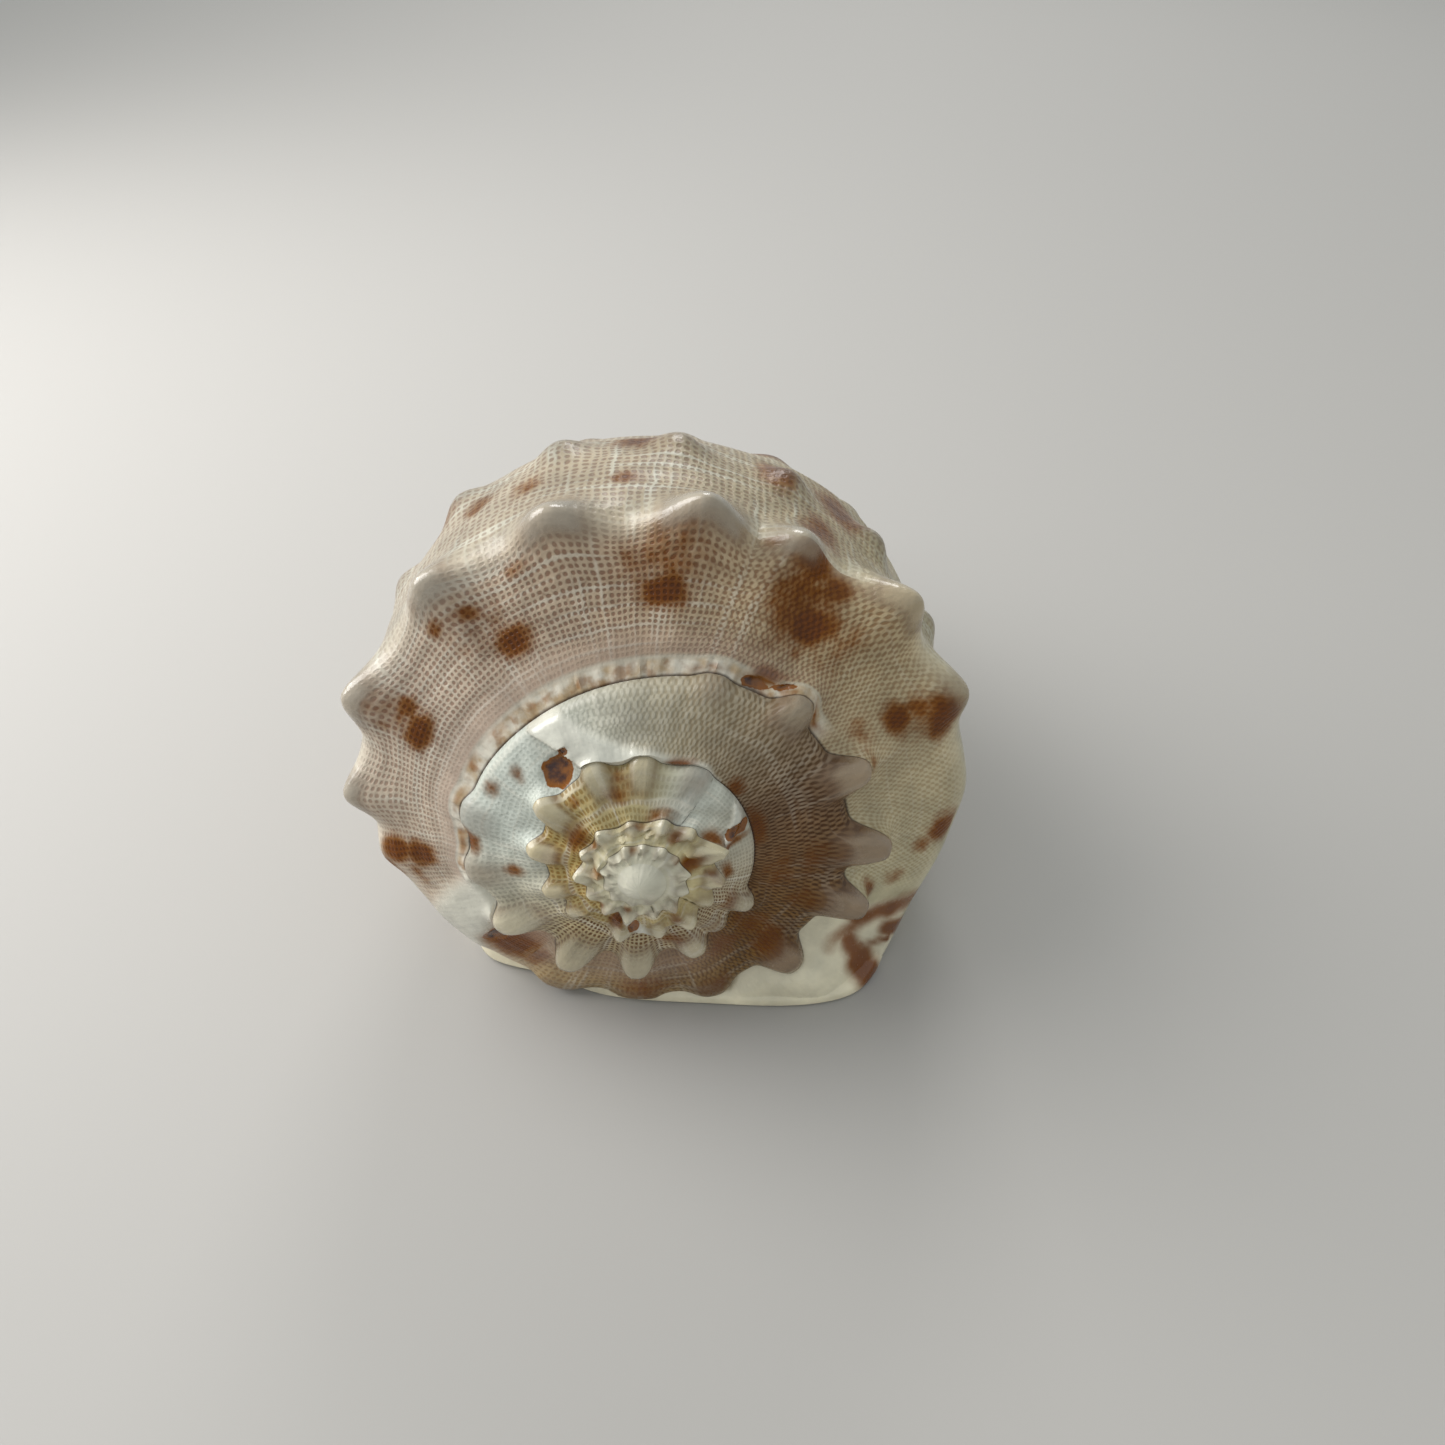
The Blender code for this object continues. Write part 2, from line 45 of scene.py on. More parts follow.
coil = {
    "lipAngle": 163.0,
    "turns": 6,
    "stepsPerTurn": 440,
    "crownRadius": 73.0,
    "growthPerTurn": 1.64,
    "spireSlope": 0.378,  # drop of the shoulder below the apex for each mm of spiral radius
    "axisTilt": math.radians(12.0),
    "apexHeight": 56.0,
    "bellyHeight": 2.0,
    "origin": (6.9, 89.55, 0.0),
    # shoulder radius between the knobs, as a share of the spiral radius
    "shoulder": [
        (-1820, 0.80), (-1440, 0.80), (-1200, 0.82), (-1144, 0.78), (-1100, 0.71), (-1061, 0.72),
        (-1029, 0.80), (-980, 0.82), (-900, 0.84), (-851, 0.85), (-814, 0.84), (-784, 0.86), (-751, 0.89),
        (-717, 0.85), (-683, 0.86), (-640, 0.79), (-587, 0.77), (-555, 0.83), (-520, 0.87), (-490, 0.92),
        (-470, 0.97), (-450, 0.95), (-430, 0.92), (-400, 0.86), (-360, 0.86), (-340, 0.89), (-306, 0.90),
        (-282, 0.885), (-252, 0.90), (-229, 0.87), (-197, 0.90), (-150, 0.94), (-120, 0.955),
        (-90, 0.965), (-51, 0.98), (-25, 0.975), (0, 0.94), (20, 0.92), (38, 0.93), (57, 0.92),
        (80, 0.90), (95, 0.887), (105, 0.875), (118, 0.872), (128, 0.887), (133, 0.89), (139, 0.86),
        (150, 0.78), (163, 0.70),
    ],
    "shoulderDepth": [(100, 1.0), (128, 0.92), (133, 0.81), (139, 0.66), (150, 0.62), (163, 0.63)],
    # thickness of each whorl's edge where it stands over the next, as a share of the spiral radius
    "edgeDrop": [(-1637, 0.035), (-700, 0.045), (-420, 0.05), (-215, 0.05), (-165, 0.0), (163, 0.0)],
    # how far it curls back under itself
    "edgeTuck": [(-1637, 0.012), (-215, 0.012), (-165, 0.0), (163, 0.0)],
    # how much a knob rises for each mm that it stands out, and how far it reaches in and out from the edge
    "knobLift": [
        (-1637, 0.8), (-900, 0.6), (-560, 0.3), (-330, 0.12), (-200, 0.15), (-120, 0.75), (163, 0.75),
    ],
    "knobReach": [(-1637, 0.16), (-900, 0.16), (-560, 0.17), (-250, 0.12), (-120, 0.11), (163, 0.11)],
    "knobFall": 0.10,
    # the next whorl's rows of pits only follow these knobs over this first share of its shelf
    "overlap": [(-1637, 0.6), (-420, 0.5), (-230, 0.45), (-150, 0.6), (163, 0.6)],
    "cornerRound": 0.12,  # radius of the last whorl's shoulder, as a share of the spiral radius
    "cornerTurn": (-0.38, 0.29),
    # angle, height as a share of the spiral radius, half width in degrees
    "roundKnobs": [
        (-100, 0.03, 5.5), (-84, 0.075, 5.5), (-63, 0.085, 6), (-37, 0.075, 6.5), (-13, 0.095, 6.5),
        (11, 0.13, 7), (27, 0.08, 5.5), (47, 0.095, 6), (67, 0.06, 5.5), (88, 0.015, 7),
        (-885, 0.13, 7.5), (-911, 0.10, 6.5), (-934, 0.14, 7.5), (-958, 0.09, 7), (-980, 0.13, 8),
        (-1009, 0.25, 8), (-1034, 0.10, 7), (-1058, 0.14, 8), (-1087, 0.09, 7.5), (-1117, 0.14, 8.5),
        (-1146, 0.10, 7), (-1172, 0.15, 8), (-1198, 0.09, 7), (-1222, 0.13, 7.5), (-1246, 0.15, 8),
        (-1274, 0.09, 7), (-1298, 0.14, 8), (-1328, 0.10, 7.5), (-1355, 0.13, 8), (-1384, 0.08, 7.5),
        (-1406, 0.12, 7.5), (-1433, 0.09, 7.5), (-1458, 0.12, 8), (-1487, 0.08, 7.5), (-1513, 0.11, 8),
        (-1545, 0.07, 8), (-1570, 0.10, 9), (-1605, 0.06, 9), (-1640, 0.06, 10),
    ],
    "fingerKnobs": [
        (-338, 0.03, 5), (-314, 0.11, 5.2), (-289, 0.155, 5.4), (-265, 0.185, 5.4), (-245, 0.175, 5.0),
        (-220, 0.14, 5.8), (-197, 0.06, 6), (-176, 0.05, 6.5), (-155, 0.04, 6.5), (-599, 0.10, 6),
        (-579, 0.05, 6), (-562, 0.125, 7), (-536, 0.19, 7.2), (-511, 0.20, 7.2), (-485, 0.15, 6.5),
        (-461, 0.06, 6), (-438, 0.05, 6), (-851, 0.09, 6), (-830, 0.12, 6), (-801, 0.14, 7),
        (-774, 0.16, 7), (-741, 0.11, 7), (-717, 0.09, 7), (-690, 0.05, 7),
    ],
    # old lips: angle at the suture, how far back each leans by the shoulder, half width, height
    "ribs": [(-112, 14, 9.0, 0.022), (-637, 26, 4.5, 0.05), (-884, 18, 5.0, 0.04)],
    # a smooth white flap over the suture: angle, share across that it reaches; it starts on a slant
    "flap": [
        (-400, 1.2), (-386, 0.95), (-380, 0.65), (-374, 0.43), (-366, 0.25), (-358, 0.15), (-345, 0.1),
        (-328, 0.06), (-322, 0),
    ],
    "flapStart": (-385.0, 14.0),
    "flapHeight": 0.035,
    # from this angle on: rows of faces across the sloping shelf
    "rampRows": [(-1997, 3), (-1637, 5), (-1277, 8), (-952, 10), (-682, 20), (-142, 40)],
    # last whorl below its shoulder: share of the way to the siphon end, share of the shoulder radius
    "flank": [
        (0.0, 1.0), (0.08, 1.03), (0.2, 1.055), (0.32, 1.035), (0.45, 0.955), (0.57, 0.86), (0.7, 0.73),
        (0.82, 0.58), (0.92, 0.45), (1.0, 0.35),
    ],
    # how much of that bulge the whorl has along its growth
    "flankSwell": [(-197, 1.0), (-20, 1.0), (10, 0.8), (30, 0.3), (55, 0.1), (80, 0.6), (110, 1.0)],
    "flankEnd": 160.0,
    "flankRows": 112,
    "sideFlatness": 0.075,
    "lowerRows": [(0.25, 0.045, 0.05), (0.46, 0.025, 0.045)],
    "lowerKnobStep": 20.0,
    "lowerKnobStart": 6.0,
    "pitsPerTurn": 262,  # at the top of the last whorl
    "pitGrowth": 0.75,  # their number grows with this power of the whorl's size
    "pitRows": 0.68,  # rows of pits to each row of faces
    # height of the slow lumps in mm, and how many there are to a turn and across the shelf
    "waves": [
        (-1997, 0), (-1640, 0), (-1480, 0.7), (-1000, 1.2), (-760, 0.6), (-400, 0.4), (-150, 0.3),
        (163, 0.3),
    ],
    "waveCount": (26.0, 2.6),
}
coil["firstAngle"] = coil["lipAngle"] - 360.0 * coil["turns"]
coil["step"] = 360.0 / coil["stepsPerTurn"]


def smooth(table, at):
    places, values = np.array(table, float).T
    at = np.clip(np.asarray(at, float), places[0], places[-1])
    slopes = np.gradient(values, places)
    left = np.clip(np.searchsorted(places, at) - 1, 0, len(places) - 2)
    span = places[left + 1] - places[left]
    t = (at - places[left]) / span
    return (
        values[left] * (2 * t**3 - 3 * t**2 + 1)
        + slopes[left] * span * (t**3 - 2 * t**2 + t)
        + values[left + 1] * (3 * t**2 - 2 * t**3)
        + slopes[left + 1] * span * (t**3 - t**2)
    )


def level(table, at):  # the same along straight lines, for values that mustn't run past their neighbours
    return np.interp(at, *np.array(table, float).T)


def ease(t):
    t = np.clip(t, 0.0, 1.0)
    return t * t * (3 - 2 * t)


def bump(at, centre, halfWidth, power=2.0):
    return np.exp(-(np.abs((at - centre) / halfWidth) ** power))


def spiral(angle):
    return coil["crownRadius"] * coil["growthPerTurn"] ** (angle / 360.0)


def knobShare(angle):
    total = np.zeros_like(angle)
    for centre, height, halfWidth in coil["roundKnobs"]:
        total = np.maximum(total, height * bump(angle, centre, halfWidth, 1.9))
    for centre, height, halfWidth in coil["fingerKnobs"]:
        total = np.maximum(total, height * bump(angle, centre, halfWidth, 3.0))
    return total


def ribShape(angle, share):  # 1 on an old lip, with a soft edge behind it and a steep one in front
    total = np.zeros(np.shape(angle))
    raised = np.zeros(np.shape(angle))
    for start, lean, halfWidth, height in coil["ribs"]:
        here = bump(angle, start - lean * share, halfWidth, 6.0)
        total = np.maximum(total, here)
        raised = raised + height * here
    return total, raised


def flapShape(angle, share):  # 1 on the white flap
    start, lean = coil["flapStart"]
    width = level(coil["flap"], angle)
    inside = ease((width - share) / 0.10 + 0.5) * ease((angle - start + lean * share) / 1.6 + 0.5)
    return inside * (angle > -412) * (angle < -318)


def ribShare(angle, share):
    return ribShape(angle, share)[1] + coil["flapHeight"] * flapShape(angle, share)


def shoulderRadius(angle):
    return spiral(angle) * smooth(coil["shoulder"], angle)


def shoulderDepth(angle):
    return coil["spireSlope"] * spiral(angle) * smooth(coil["shoulderDepth"], angle)


def edgeDrop(angle):
    return spiral(angle) * level(coil["edgeDrop"], angle)


def knobHump(angle, away):  # how much of a knob is left this far from the whorl's edge
    reach = np.where(away < 0, level(coil["knobReach"], angle), coil["knobFall"])
    return knobShare(angle) * np.exp(-((away / reach) ** 2))


def cornerOffset(angle, away):  # rounds the last whorl's shoulder
    size = spiral(angle) * ease((angle + 200) / 50)
    cut = size * (np.sqrt(away**2 + coil["cornerRound"] ** 2) - np.abs(away))
    return coil["cornerTurn"][0] * cut, coil["cornerTurn"][1] * cut


def underEdge(angle):  # where the next whorl meets this one
    size, knob = spiral(angle), knobShare(angle)
    roundIn, roundDown = cornerOffset(angle, 0 * angle)
    radius = shoulderRadius(angle) + size * (knob - level(coil["edgeTuck"], angle)) + roundIn
    depth = shoulderDepth(angle) + edgeDrop(angle) - size * knob * level(coil["knobLift"], angle) + roundDown
    return radius, depth


def unevenness(angle, share):  # slow lumps in mm that leave the old growth irregular
    along, across = angle / 360.0 * coil["waveCount"][0], share * coil["waveCount"][1]
    places = [Vector(place) for place in zip(along, across, 0 * along)]
    lumps = [noise.noise(place) + 0.5 * noise.noise(place * 2) for place in places]
    return level(coil["waves"], angle) * 1.5 * np.array(lumps) * np.sin(np.pi * share)


def rampPoint(angle, share):
    firstTurn = angle < coil["firstAngle"] + 360.0 - 0.5 * coil["step"]
    inner, innerDepth = underEdge(angle - 360.0)
    smoothInner = shoulderRadius(angle - 360.0)
    smoothDepth = shoulderDepth(angle - 360.0) + edgeDrop(angle - 360.0)
    follow = np.clip(1 - share / level(coil["overlap"], angle), 0, 1) ** 1.6
    innerRadius = np.where(firstTurn, 0.0, smoothInner + (inner - smoothInner) * follow)
    innerDepth = np.where(firstTurn, 0.0, smoothDepth + (innerDepth - smoothDepth) * follow)
    size = spiral(angle)
    outer, outerDepth = shoulderRadius(angle), shoulderDepth(angle)
    away = (share - 1) * (outer - smoothInner) / size
    hump = knobHump(angle, away) * ease(share / 0.25)
    roundIn, roundDown = np.array(cornerOffset(angle, away)) * ease(share / 0.3)
    t = np.clip((share - 0.82) / 0.18, 0, 1)
    curl = 1 - np.sqrt(np.clip(1 - t * t, 0, 1))
    fall = np.where(firstTurn, share**2, share)
    radius = innerRadius + (outer - innerRadius) * share + roundIn
    radius = radius + size * (hump - level(coil["edgeTuck"], angle) * t**8)
    ridge = ribShare(angle, share) * ease(share / 0.1) * (1 - t**4)
    sag = (-0.010 + 0.022 * ease((angle + 140) / 60)) * np.sin(np.pi * share)
    lip = 0.05 * ease((angle - 122) / 20) * np.sin(np.pi * share)
    depth = innerDepth + (outerDepth - innerDepth) * fall + edgeDrop(angle) * curl + roundDown
    depth = depth - size * (hump * level(coil["knobLift"], angle) + ridge - sag + lip)
    return radius, depth - unevenness(angle, share)


def flankPoint(angle, share):
    size = spiral(angle)
    start = shoulderDepth(angle) + edgeDrop(angle)
    away = share * (coil["flankEnd"] - start) / size
    hump = knobHump(angle, away)
    roundIn, roundDown = cornerOffset(angle, away)
    sideways = np.sin(np.radians(angle)) ** 2 * bump(share, 0.3, 0.25) * ease(share / 0.1)
    profile = smooth(coil["flank"], share)
    profile = np.where(profile > 1, 1 + (profile - 1) * smooth(coil["flankSwell"], angle), profile)
    radius = shoulderRadius(angle) * (profile - coil["sideFlatness"] * sideways)
    radius = radius + size * (hump - level(coil["edgeTuck"], angle) * bump(share, 0, 0.012)) + roundIn
    for row, height, halfWidth in coil["lowerRows"]:
        beat = 0.5 + 0.5 * np.cos(2 * np.pi * (angle - coil["lowerKnobStart"]) / coil["lowerKnobStep"])
        radius = radius + size * height * beat**2 * bump(share, row, halfWidth)
    depth = start + (coil["flankEnd"] - start) * share + roundDown * (1 - share)
    return radius, depth - size * hump * level(coil["knobLift"], angle)


def inPlace(angle, radius, depth, floor=coil["bellyHeight"]):
    turn, tilt = np.radians(angle), coil["axisTilt"]
    lift = radius * np.cos(turn)
    up = coil["apexHeight"] + lift * math.cos(tilt) - depth * math.sin(tilt)
    up = np.where(up < floor, floor + 0.02 * (up - floor), up)
    return np.stack([radius * np.sin(turn), depth * math.cos(tilt) + lift * math.sin(tilt), up], axis=-1)


def makePlain(mesh, name):
    made = bpy.data.objects.new(name, mesh)
    bpy.context.scene.collection.objects.link(made)
    return made


def awayFrom(points, start, end):  # distance from a line between two points
    line = end - start
    along = np.clip((points - start) @ line / (line @ line), 0, 1)
    return np.linalg.norm(points - start - along[:, None] * line, axis=1)


def sheet(cells, place):
    # A grid from the create_grid operator, laid over a surface. place gets how far along and across
    # each vertex is, in cells, and gives its place in mm, its net coordinates, zones and marks.
    bm = bmesh.new()
    half = Matrix.Translation((0.5, 0.5, 0.0))
    bmesh.ops.create_grid(bm, x_segments=cells[0], y_segments=cells[1], size=0.5, matrix=half)
    mesh = bpy.data.meshes.new("sheet")
    bm.to_mesh(mesh)
    bm.free()
    flat = np.empty(len(mesh.vertices) * 3, np.float32)
    mesh.vertices.foreach_get("co", flat)
    flat = flat.reshape(-1, 3).astype(float)
    points, net, zones, marks = place(np.round(flat[:, 0] * cells[0]), np.round(flat[:, 1] * cells[1]))
    for start, end, halfWidth, strength in look["bars"]:
        away = awayFrom(points, np.array(start, float), np.array(end, float)) / halfWidth
        zones[:, 1] = np.maximum(zones[:, 1], strength * np.exp(-(away**2)))
    points = (points - np.array(coil["origin"])) * mm
    mesh.vertices.foreach_set("co", points.astype(np.float32).ravel())
    corner = np.empty(len(mesh.loops), np.int32)
    mesh.loops.foreach_get("vertex_index", corner)
    mesh.uv_layers.new(name="net").uv.foreach_set("vector", net[corner].astype(np.float32).ravel())
    for name, values in (("zones", zones), ("marks", marks)):
        layer = mesh.color_attributes.new(name=name, type="FLOAT_COLOR", domain="CORNER")
        layer.data.foreach_set("color", values[corner].astype(np.float32).ravel())
    return mesh


def closedBody(name, sheets):
    # Joins sheets whose edges meet into one closed body.
    bm = bmesh.new()
    for mesh in sheets:
        bm.from_mesh(mesh)
        bpy.data.meshes.remove(mesh)
    bmesh.ops.remove_doubles(bm, verts=bm.verts, dist=2e-6)
    open_ = [edge for edge in bm.edges if edge.is_boundary]
    bmesh.ops.holes_fill(bm, edges=open_, sides=3)
    open_ = [edge for edge in bm.edges if edge.is_boundary]
    bmesh.ops.holes_fill(bm, edges=open_, sides=0)
    bmesh.ops.recalc_face_normals(bm, faces=bm.faces)
    loose = sum(not edge.is_manifold for edge in bm.edges)
    print(name, len(bm.faces), "faces,", loose, "edges not closed")
    mesh = bpy.data.meshes.new(name)
    bm.to_mesh(mesh)
    bm.free()
    return makePlain(mesh, name)


look = {
    # how strongly the net of pits shows along the growth
    "net": [
        (-1637, 0.0), (-960, 0.1), (-860, 0.7), (-760, 0.7), (-705, 0.35), (-640, 0.3), (-600, 0.95),
        (-500, 0.95), (-470, 0.5), (-400, 0.4), (-345, 0.55), (-300, 0.95), (-205, 0.8), (-140, 0.5),
        (-110, 0.75), (-60, 0.9), (0, 1.0), (45, 0.9), (75, 0.6), (108, 0.5), (116, 0.0), (163, 0.0),
    ],
    "longPits": [
        (-1637, 0.0), (-560, 0.0), (-400, 0.3), (-330, 0.9), (-215, 0.9), (-190, 0.3), (-120, 0.1),
        (10, 0.1), (45, 1.0), (163, 1.0),
    ],
    "fullKnob": [
        (-1637, 0.10), (-900, 0.10), (-550, 0.12), (-250, 0.13), (-100, 0.07), (0, 0.08), (163, 0.07),
    ],
    "knobSpan": [
        (-1637, 0.45), (-700, 0.45), (-480, 0.45), (-400, 0.24), (-200, 0.22), (-100, 0.12), (163, 0.12),
    ],
    # brown blotches on the shelf: angle, share across, reach in degrees, reach across, strength
    "shelfStains": [
        (5, 0.72, 10, 0.26, 0.5), (33, 0.66, 7, 0.38, 0.72), (-62, 0.66, 7, 0.26, 0.38),
        (68, 0.66, 7, 0.25, 0.42), (-34, 0.62, 8, 0.22, 0.36), (-99, 0.68, 5, 0.28, 0.55),
        (45, 0.5, 6, 0.3, 0.36), (31, 0.91, 4.6, 0.15, 1.1), (37, 0.86, 3.3, 0.14, 0.9),
        (37, 0.55, 5, 0.15, 1.3), (29, 0.66, 4.5, 0.18, 0.6), (23, 0.96, 3, 0.07, 0.5),
        (37, 0.36, 3.5, 0.08, 0.5), (6, 0.54, 5.1, 0.11, 1.2), (8, 0.74, 4.1, 0.14, 0.5),
        (-2, 0.66, 3, 0.08, 0.4), (-29, 0.46, 5, 0.10, 1.1), (-34, 0.73, 3, 0.07, 0.75),
        (-41, 0.78, 2.5, 0.05, 0.65), (-22, 0.84, 3, 0.06, 0.5), (-63, 0.53, 5.2, 0.10, 1.15),
        (-59, 0.66, 3, 0.08, 0.8), (-61, 0.84, 4, 0.06, 0.4), (-103, 0.97, 4, 0.08, 0.9),
        (-98, 0.80, 3.6, 0.17, 1.2), (-99, 0.57, 3.8, 0.17, 1.2), (-105, 0.72, 4, 0.08, 0.6),
        (66, 0.54, 4.2, 0.10, 1.15), (66, 0.69, 3, 0.09, 0.85), (70, 0.82, 4.9, 0.12, 1.3),
        (97, 0.89, 4, 0.16, 1.0), (101, 0.72, 2.4, 0.12, 0.65), (64, 0.27, 4.1, 0.11, 0.5),
        (72, 0.14, 5, 0.10, 0.45), (35, 0.12, 4.4, 0.07, 1.1), (-48, 0.08, 7, 0.05, 0.5),
        (-62, 0.09, 5, 0.05, 0.55), (-76, 0.06, 6, 0.05, 0.55), (-92, 0.06, 7, 0.05, 0.65),
        (20, 0.05, 8, 0.04, 0.5), (52, 0.05, 5, 0.04, 0.8), (110, 0.55, 3, 0.12, 0.5),
        (114, 0.22, 4, 0.14, 0.9), (-135, 0.46, 6.9, 0.34, 1.3), (-144, 0.52, 3.9, 0.22, 0.9),
        (-178, 0.68, 9.8, 0.19, 0.6), (-199, 0.81, 6.4, 0.11, 0.7), (-448, 0.90, 5.5, 0.12, 0.9),
        (-459, 0.42, 3.9, 0.12, 0.85), (-424, 0.78, 4, 0.14, 0.5), (-412, 0.62, 3, 0.14, 0.7),
        (-224, 0.64, 7.3, 0.20, 0.75), (-226, 0.32, 7.9, 0.25, 0.55), (-245, 0.59, 5.8, 0.15, 0.5),
        (-211, 0.28, 8.6, 0.20, 0.6), (-257, 0.26, 13, 0.22, 0.4), (-262, 0.60, 10, 0.20, 0.4),
        (-285, 0.05, 12, 0.10, 0.7), (-310, 0.06, 5, 0.12, 0.8), (-340, 0.05, 7, 0.06, 1.0),
        (-360, 0.03, 4, 0.04, 0.7), (-555, 0.43, 10, 0.22, 0.5), (-600, 0.5, 8, 0.2, 0.6),
        (-625, 0.25, 8, 0.2, 0.7), (-646, 0.5, 3, 0.4, 0.9), (-657, 0.15, 8, 0.24, 0.9),
        (-702, 0.10, 14, 0.2, 0.6), (-732, 0.57, 9, 0.2, 0.65), (-730, 0.85, 5, 0.14, 0.6),
        (-778, 0.28, 12, 0.22, 0.8), (-760, 0.75, 5, 0.12, 0.5), (-800, 0.6, 7, 0.2, 0.5),
        (-877, 0.33, 6, 0.35, 1.3), (-1006, 0.26, 12, 0.35, 0.9), (-985, 0.8, 7, 0.25, 1.0),
        (-1040, 0.6, 8, 0.3, 0.8), (-1080, 0.85, 10, 0.2, 0.7), (-930, 0.5, 7, 0.3, 0.6),
        (-1160, 0.2, 12, 0.3, 0.6), (-1130, 0.9, 8, 0.2, 0.7), (-1216, 0.95, 8, 0.2, 0.9),
        (-1300, 0.9, 8, 0.2, 0.8), (-1382, 0.9, 8, 0.2, 0.8), (-1240, 0.4, 8, 0.3, 0.6),
        (-1450, 0.8, 10, 0.3, 0.6),
    ],
    # polished glassy brown places: between an old lip and the growth before it
    "amber": [
        (-398, 0.24, 8, 0.22, 1.0), (-390, 0.47, 2.5, 0.06, 1.0), (-130, 0.42, 2.5, 0.30, 0.9),
        (-652, 0.7, 4, 0.3, 0.9), (-893, 0.5, 5, 0.3, 0.8), (33, 0.05, 4, 0.04, 0.9),
        (40, 0.08, 2.5, 0.03, 0.8),
    ],
    # the same on the last whorl below its shoulder
    "flankStains": [
        (-2, 0.12, 2.6, 0.02, 0.9), (-1, 0.28, 4, 0.04, 1.0), (24, 0.26, 3.3, 0.07, 1.1),
        (-19, 0.15, 3, 0.03, 0.6), (-29, 0.17, 3, 0.03, 0.7), (-38, 0.22, 5, 0.03, 0.6),
        (38, 0.28, 5, 0.08, 1.0), (32, 0.10, 4, 0.08, 0.8), (-62, 0.2, 5, 0.04, 0.6),
    ],
    # brown bars across the lip, in mm from the apex's foot: both ends, half width, strength
    "bars": [
        ((42, 17.5, 14), (50, 21, 17), 3.2, 0.6), ((49, 22, 18), (59, 27, 17), 3.4, 0.9),
        ((57, 26, 17), (64, 33, 16), 4.0, 1.0), ((61, 27, 8), (57, 22, 12), 2.6, 1.1),
        ((47, 18.5, 13), (51, 17, 7), 3.0, 0.95), ((51, 17, 7), (55, 15, 0), 4.6, 1.15),
        ((57, 24, 7), (48, 19, 11), 1.3, 1.3), ((67, 48, 18), (68, 52, 17), 2.5, 0.6),
        ((16, 8, 8), (20, 8, 4), 2.0, 0.5),
    ],
    "flankBands": [0.26, 0.47, 0.66, 0.82],
    "seed": 7,
    # from and to these angles, eased over so many degrees: the suture band, and the bare zone beside it
    "suture": ((-112, 6), (62, 10)),
    "bare": ((-112, 6), (20, 20)),
    # share across: where the band ends and over how much, its white rim, the crack beside it, which is
    # darkened with painted shade
    "sutureEdge": (0.10, 0.03),
    "sutureRim": (0.118, 0.014),
    "shadedSutureCrack": (0.135, 0.012),
    "bareEdge": (0.16, 0.22),
    "lip": (117.5, 7.0, 3.0),  # the white lip's angle, its slant, and over how much it starts
    # how much of the net each takes away
    "fadedBy": {"band": 0.95, "bare": 0.6, "knob": 0.85, "edge": 0.45},
    "onFlank": {"net": 0.8, "longPits": 0.3, "lowerKnob": 0.5, "edge": 0.045},
    "relief": {"cord": 0.22, "bead": 0.45, "amber": 0.9, "crackAndShade": 0.15},  # mm
}


def within(angle, ends):
    (first, easedIn), (last, easedOut) = ends
    return ease((angle - first) / easedIn) * ease((last - angle) / easedOut)


def backStains():
    # Blotches in four broken bands on the back, where the photo doesn't reach.
    rng = np.random.default_rng(look["seed"])
    found = list(look["flankStains"])
    for band in look["flankBands"]:
        for angle in np.arange(-150, 130, 34):
            jitter = rng.uniform(-1, 1, 4)
            if band > 0.4 or abs(angle) > 70:
                place = (angle + 9 * jitter[0], band + 0.025 * jitter[1])
                found.append((*place, 6 + 3 * jitter[2], 0.035 + 0.012 * jitter[3], 0.85))
    return found


def spots(angle, share, table, power):
    total = np.zeros(len(angle))
    for where, across, reach, reachAcross, strength in table:
        away = ((angle - where) / reach) ** 2 + ((share - across) / reachAcross) ** 2
        total = np.maximum(total, strength * np.exp(-(away**power)))
    return total


def plainLook(count):
    zones = np.zeros((count, 4))
    zones[:, 2] = 1.0
    net = np.tile((pitCount(coil["lipAngle"]), 30.0), (count, 1))
    return net, zones, np.zeros((count, 4))


def pitCount(angle):  # pits from the apex to here; the last whorl's are larger, so fewer to its size
    power = coil["growthPerTurn"] ** coil["pitGrowth"]
    return coil["pitsPerTurn"] / math.log(power) * power ** (angle / 360.0)


def surfaceRelief(share, net, zones, marks):
    # Height in mm: every fourth spiral ridge stands up, with beads and dents along the suture.
    pits, rows = net[:, 0], net[:, 1]
    cord = bump((rows / 4.0) % 1.0, 0.5, 0.2) * (1 - 0.7 * marks[:, 3])
    beads = np.sin(2 * np.pi * pits / 3.5 + 2 * np.sin(pits / 2.3)) * np.sin(2 * np.pi * pits / 9.1)
    relief = look["relief"]
    height = zones[:, 0] * relief["cord"] * cord + relief["bead"] * zones[:, 3] * beads
    height = height - relief["amber"] * marks[:, 2] - relief["crackAndShade"] * marks[:, 1]
    return height * np.clip(share / 0.03, 0, 1) * np.clip((1 - share) / 0.03, 0, 1)


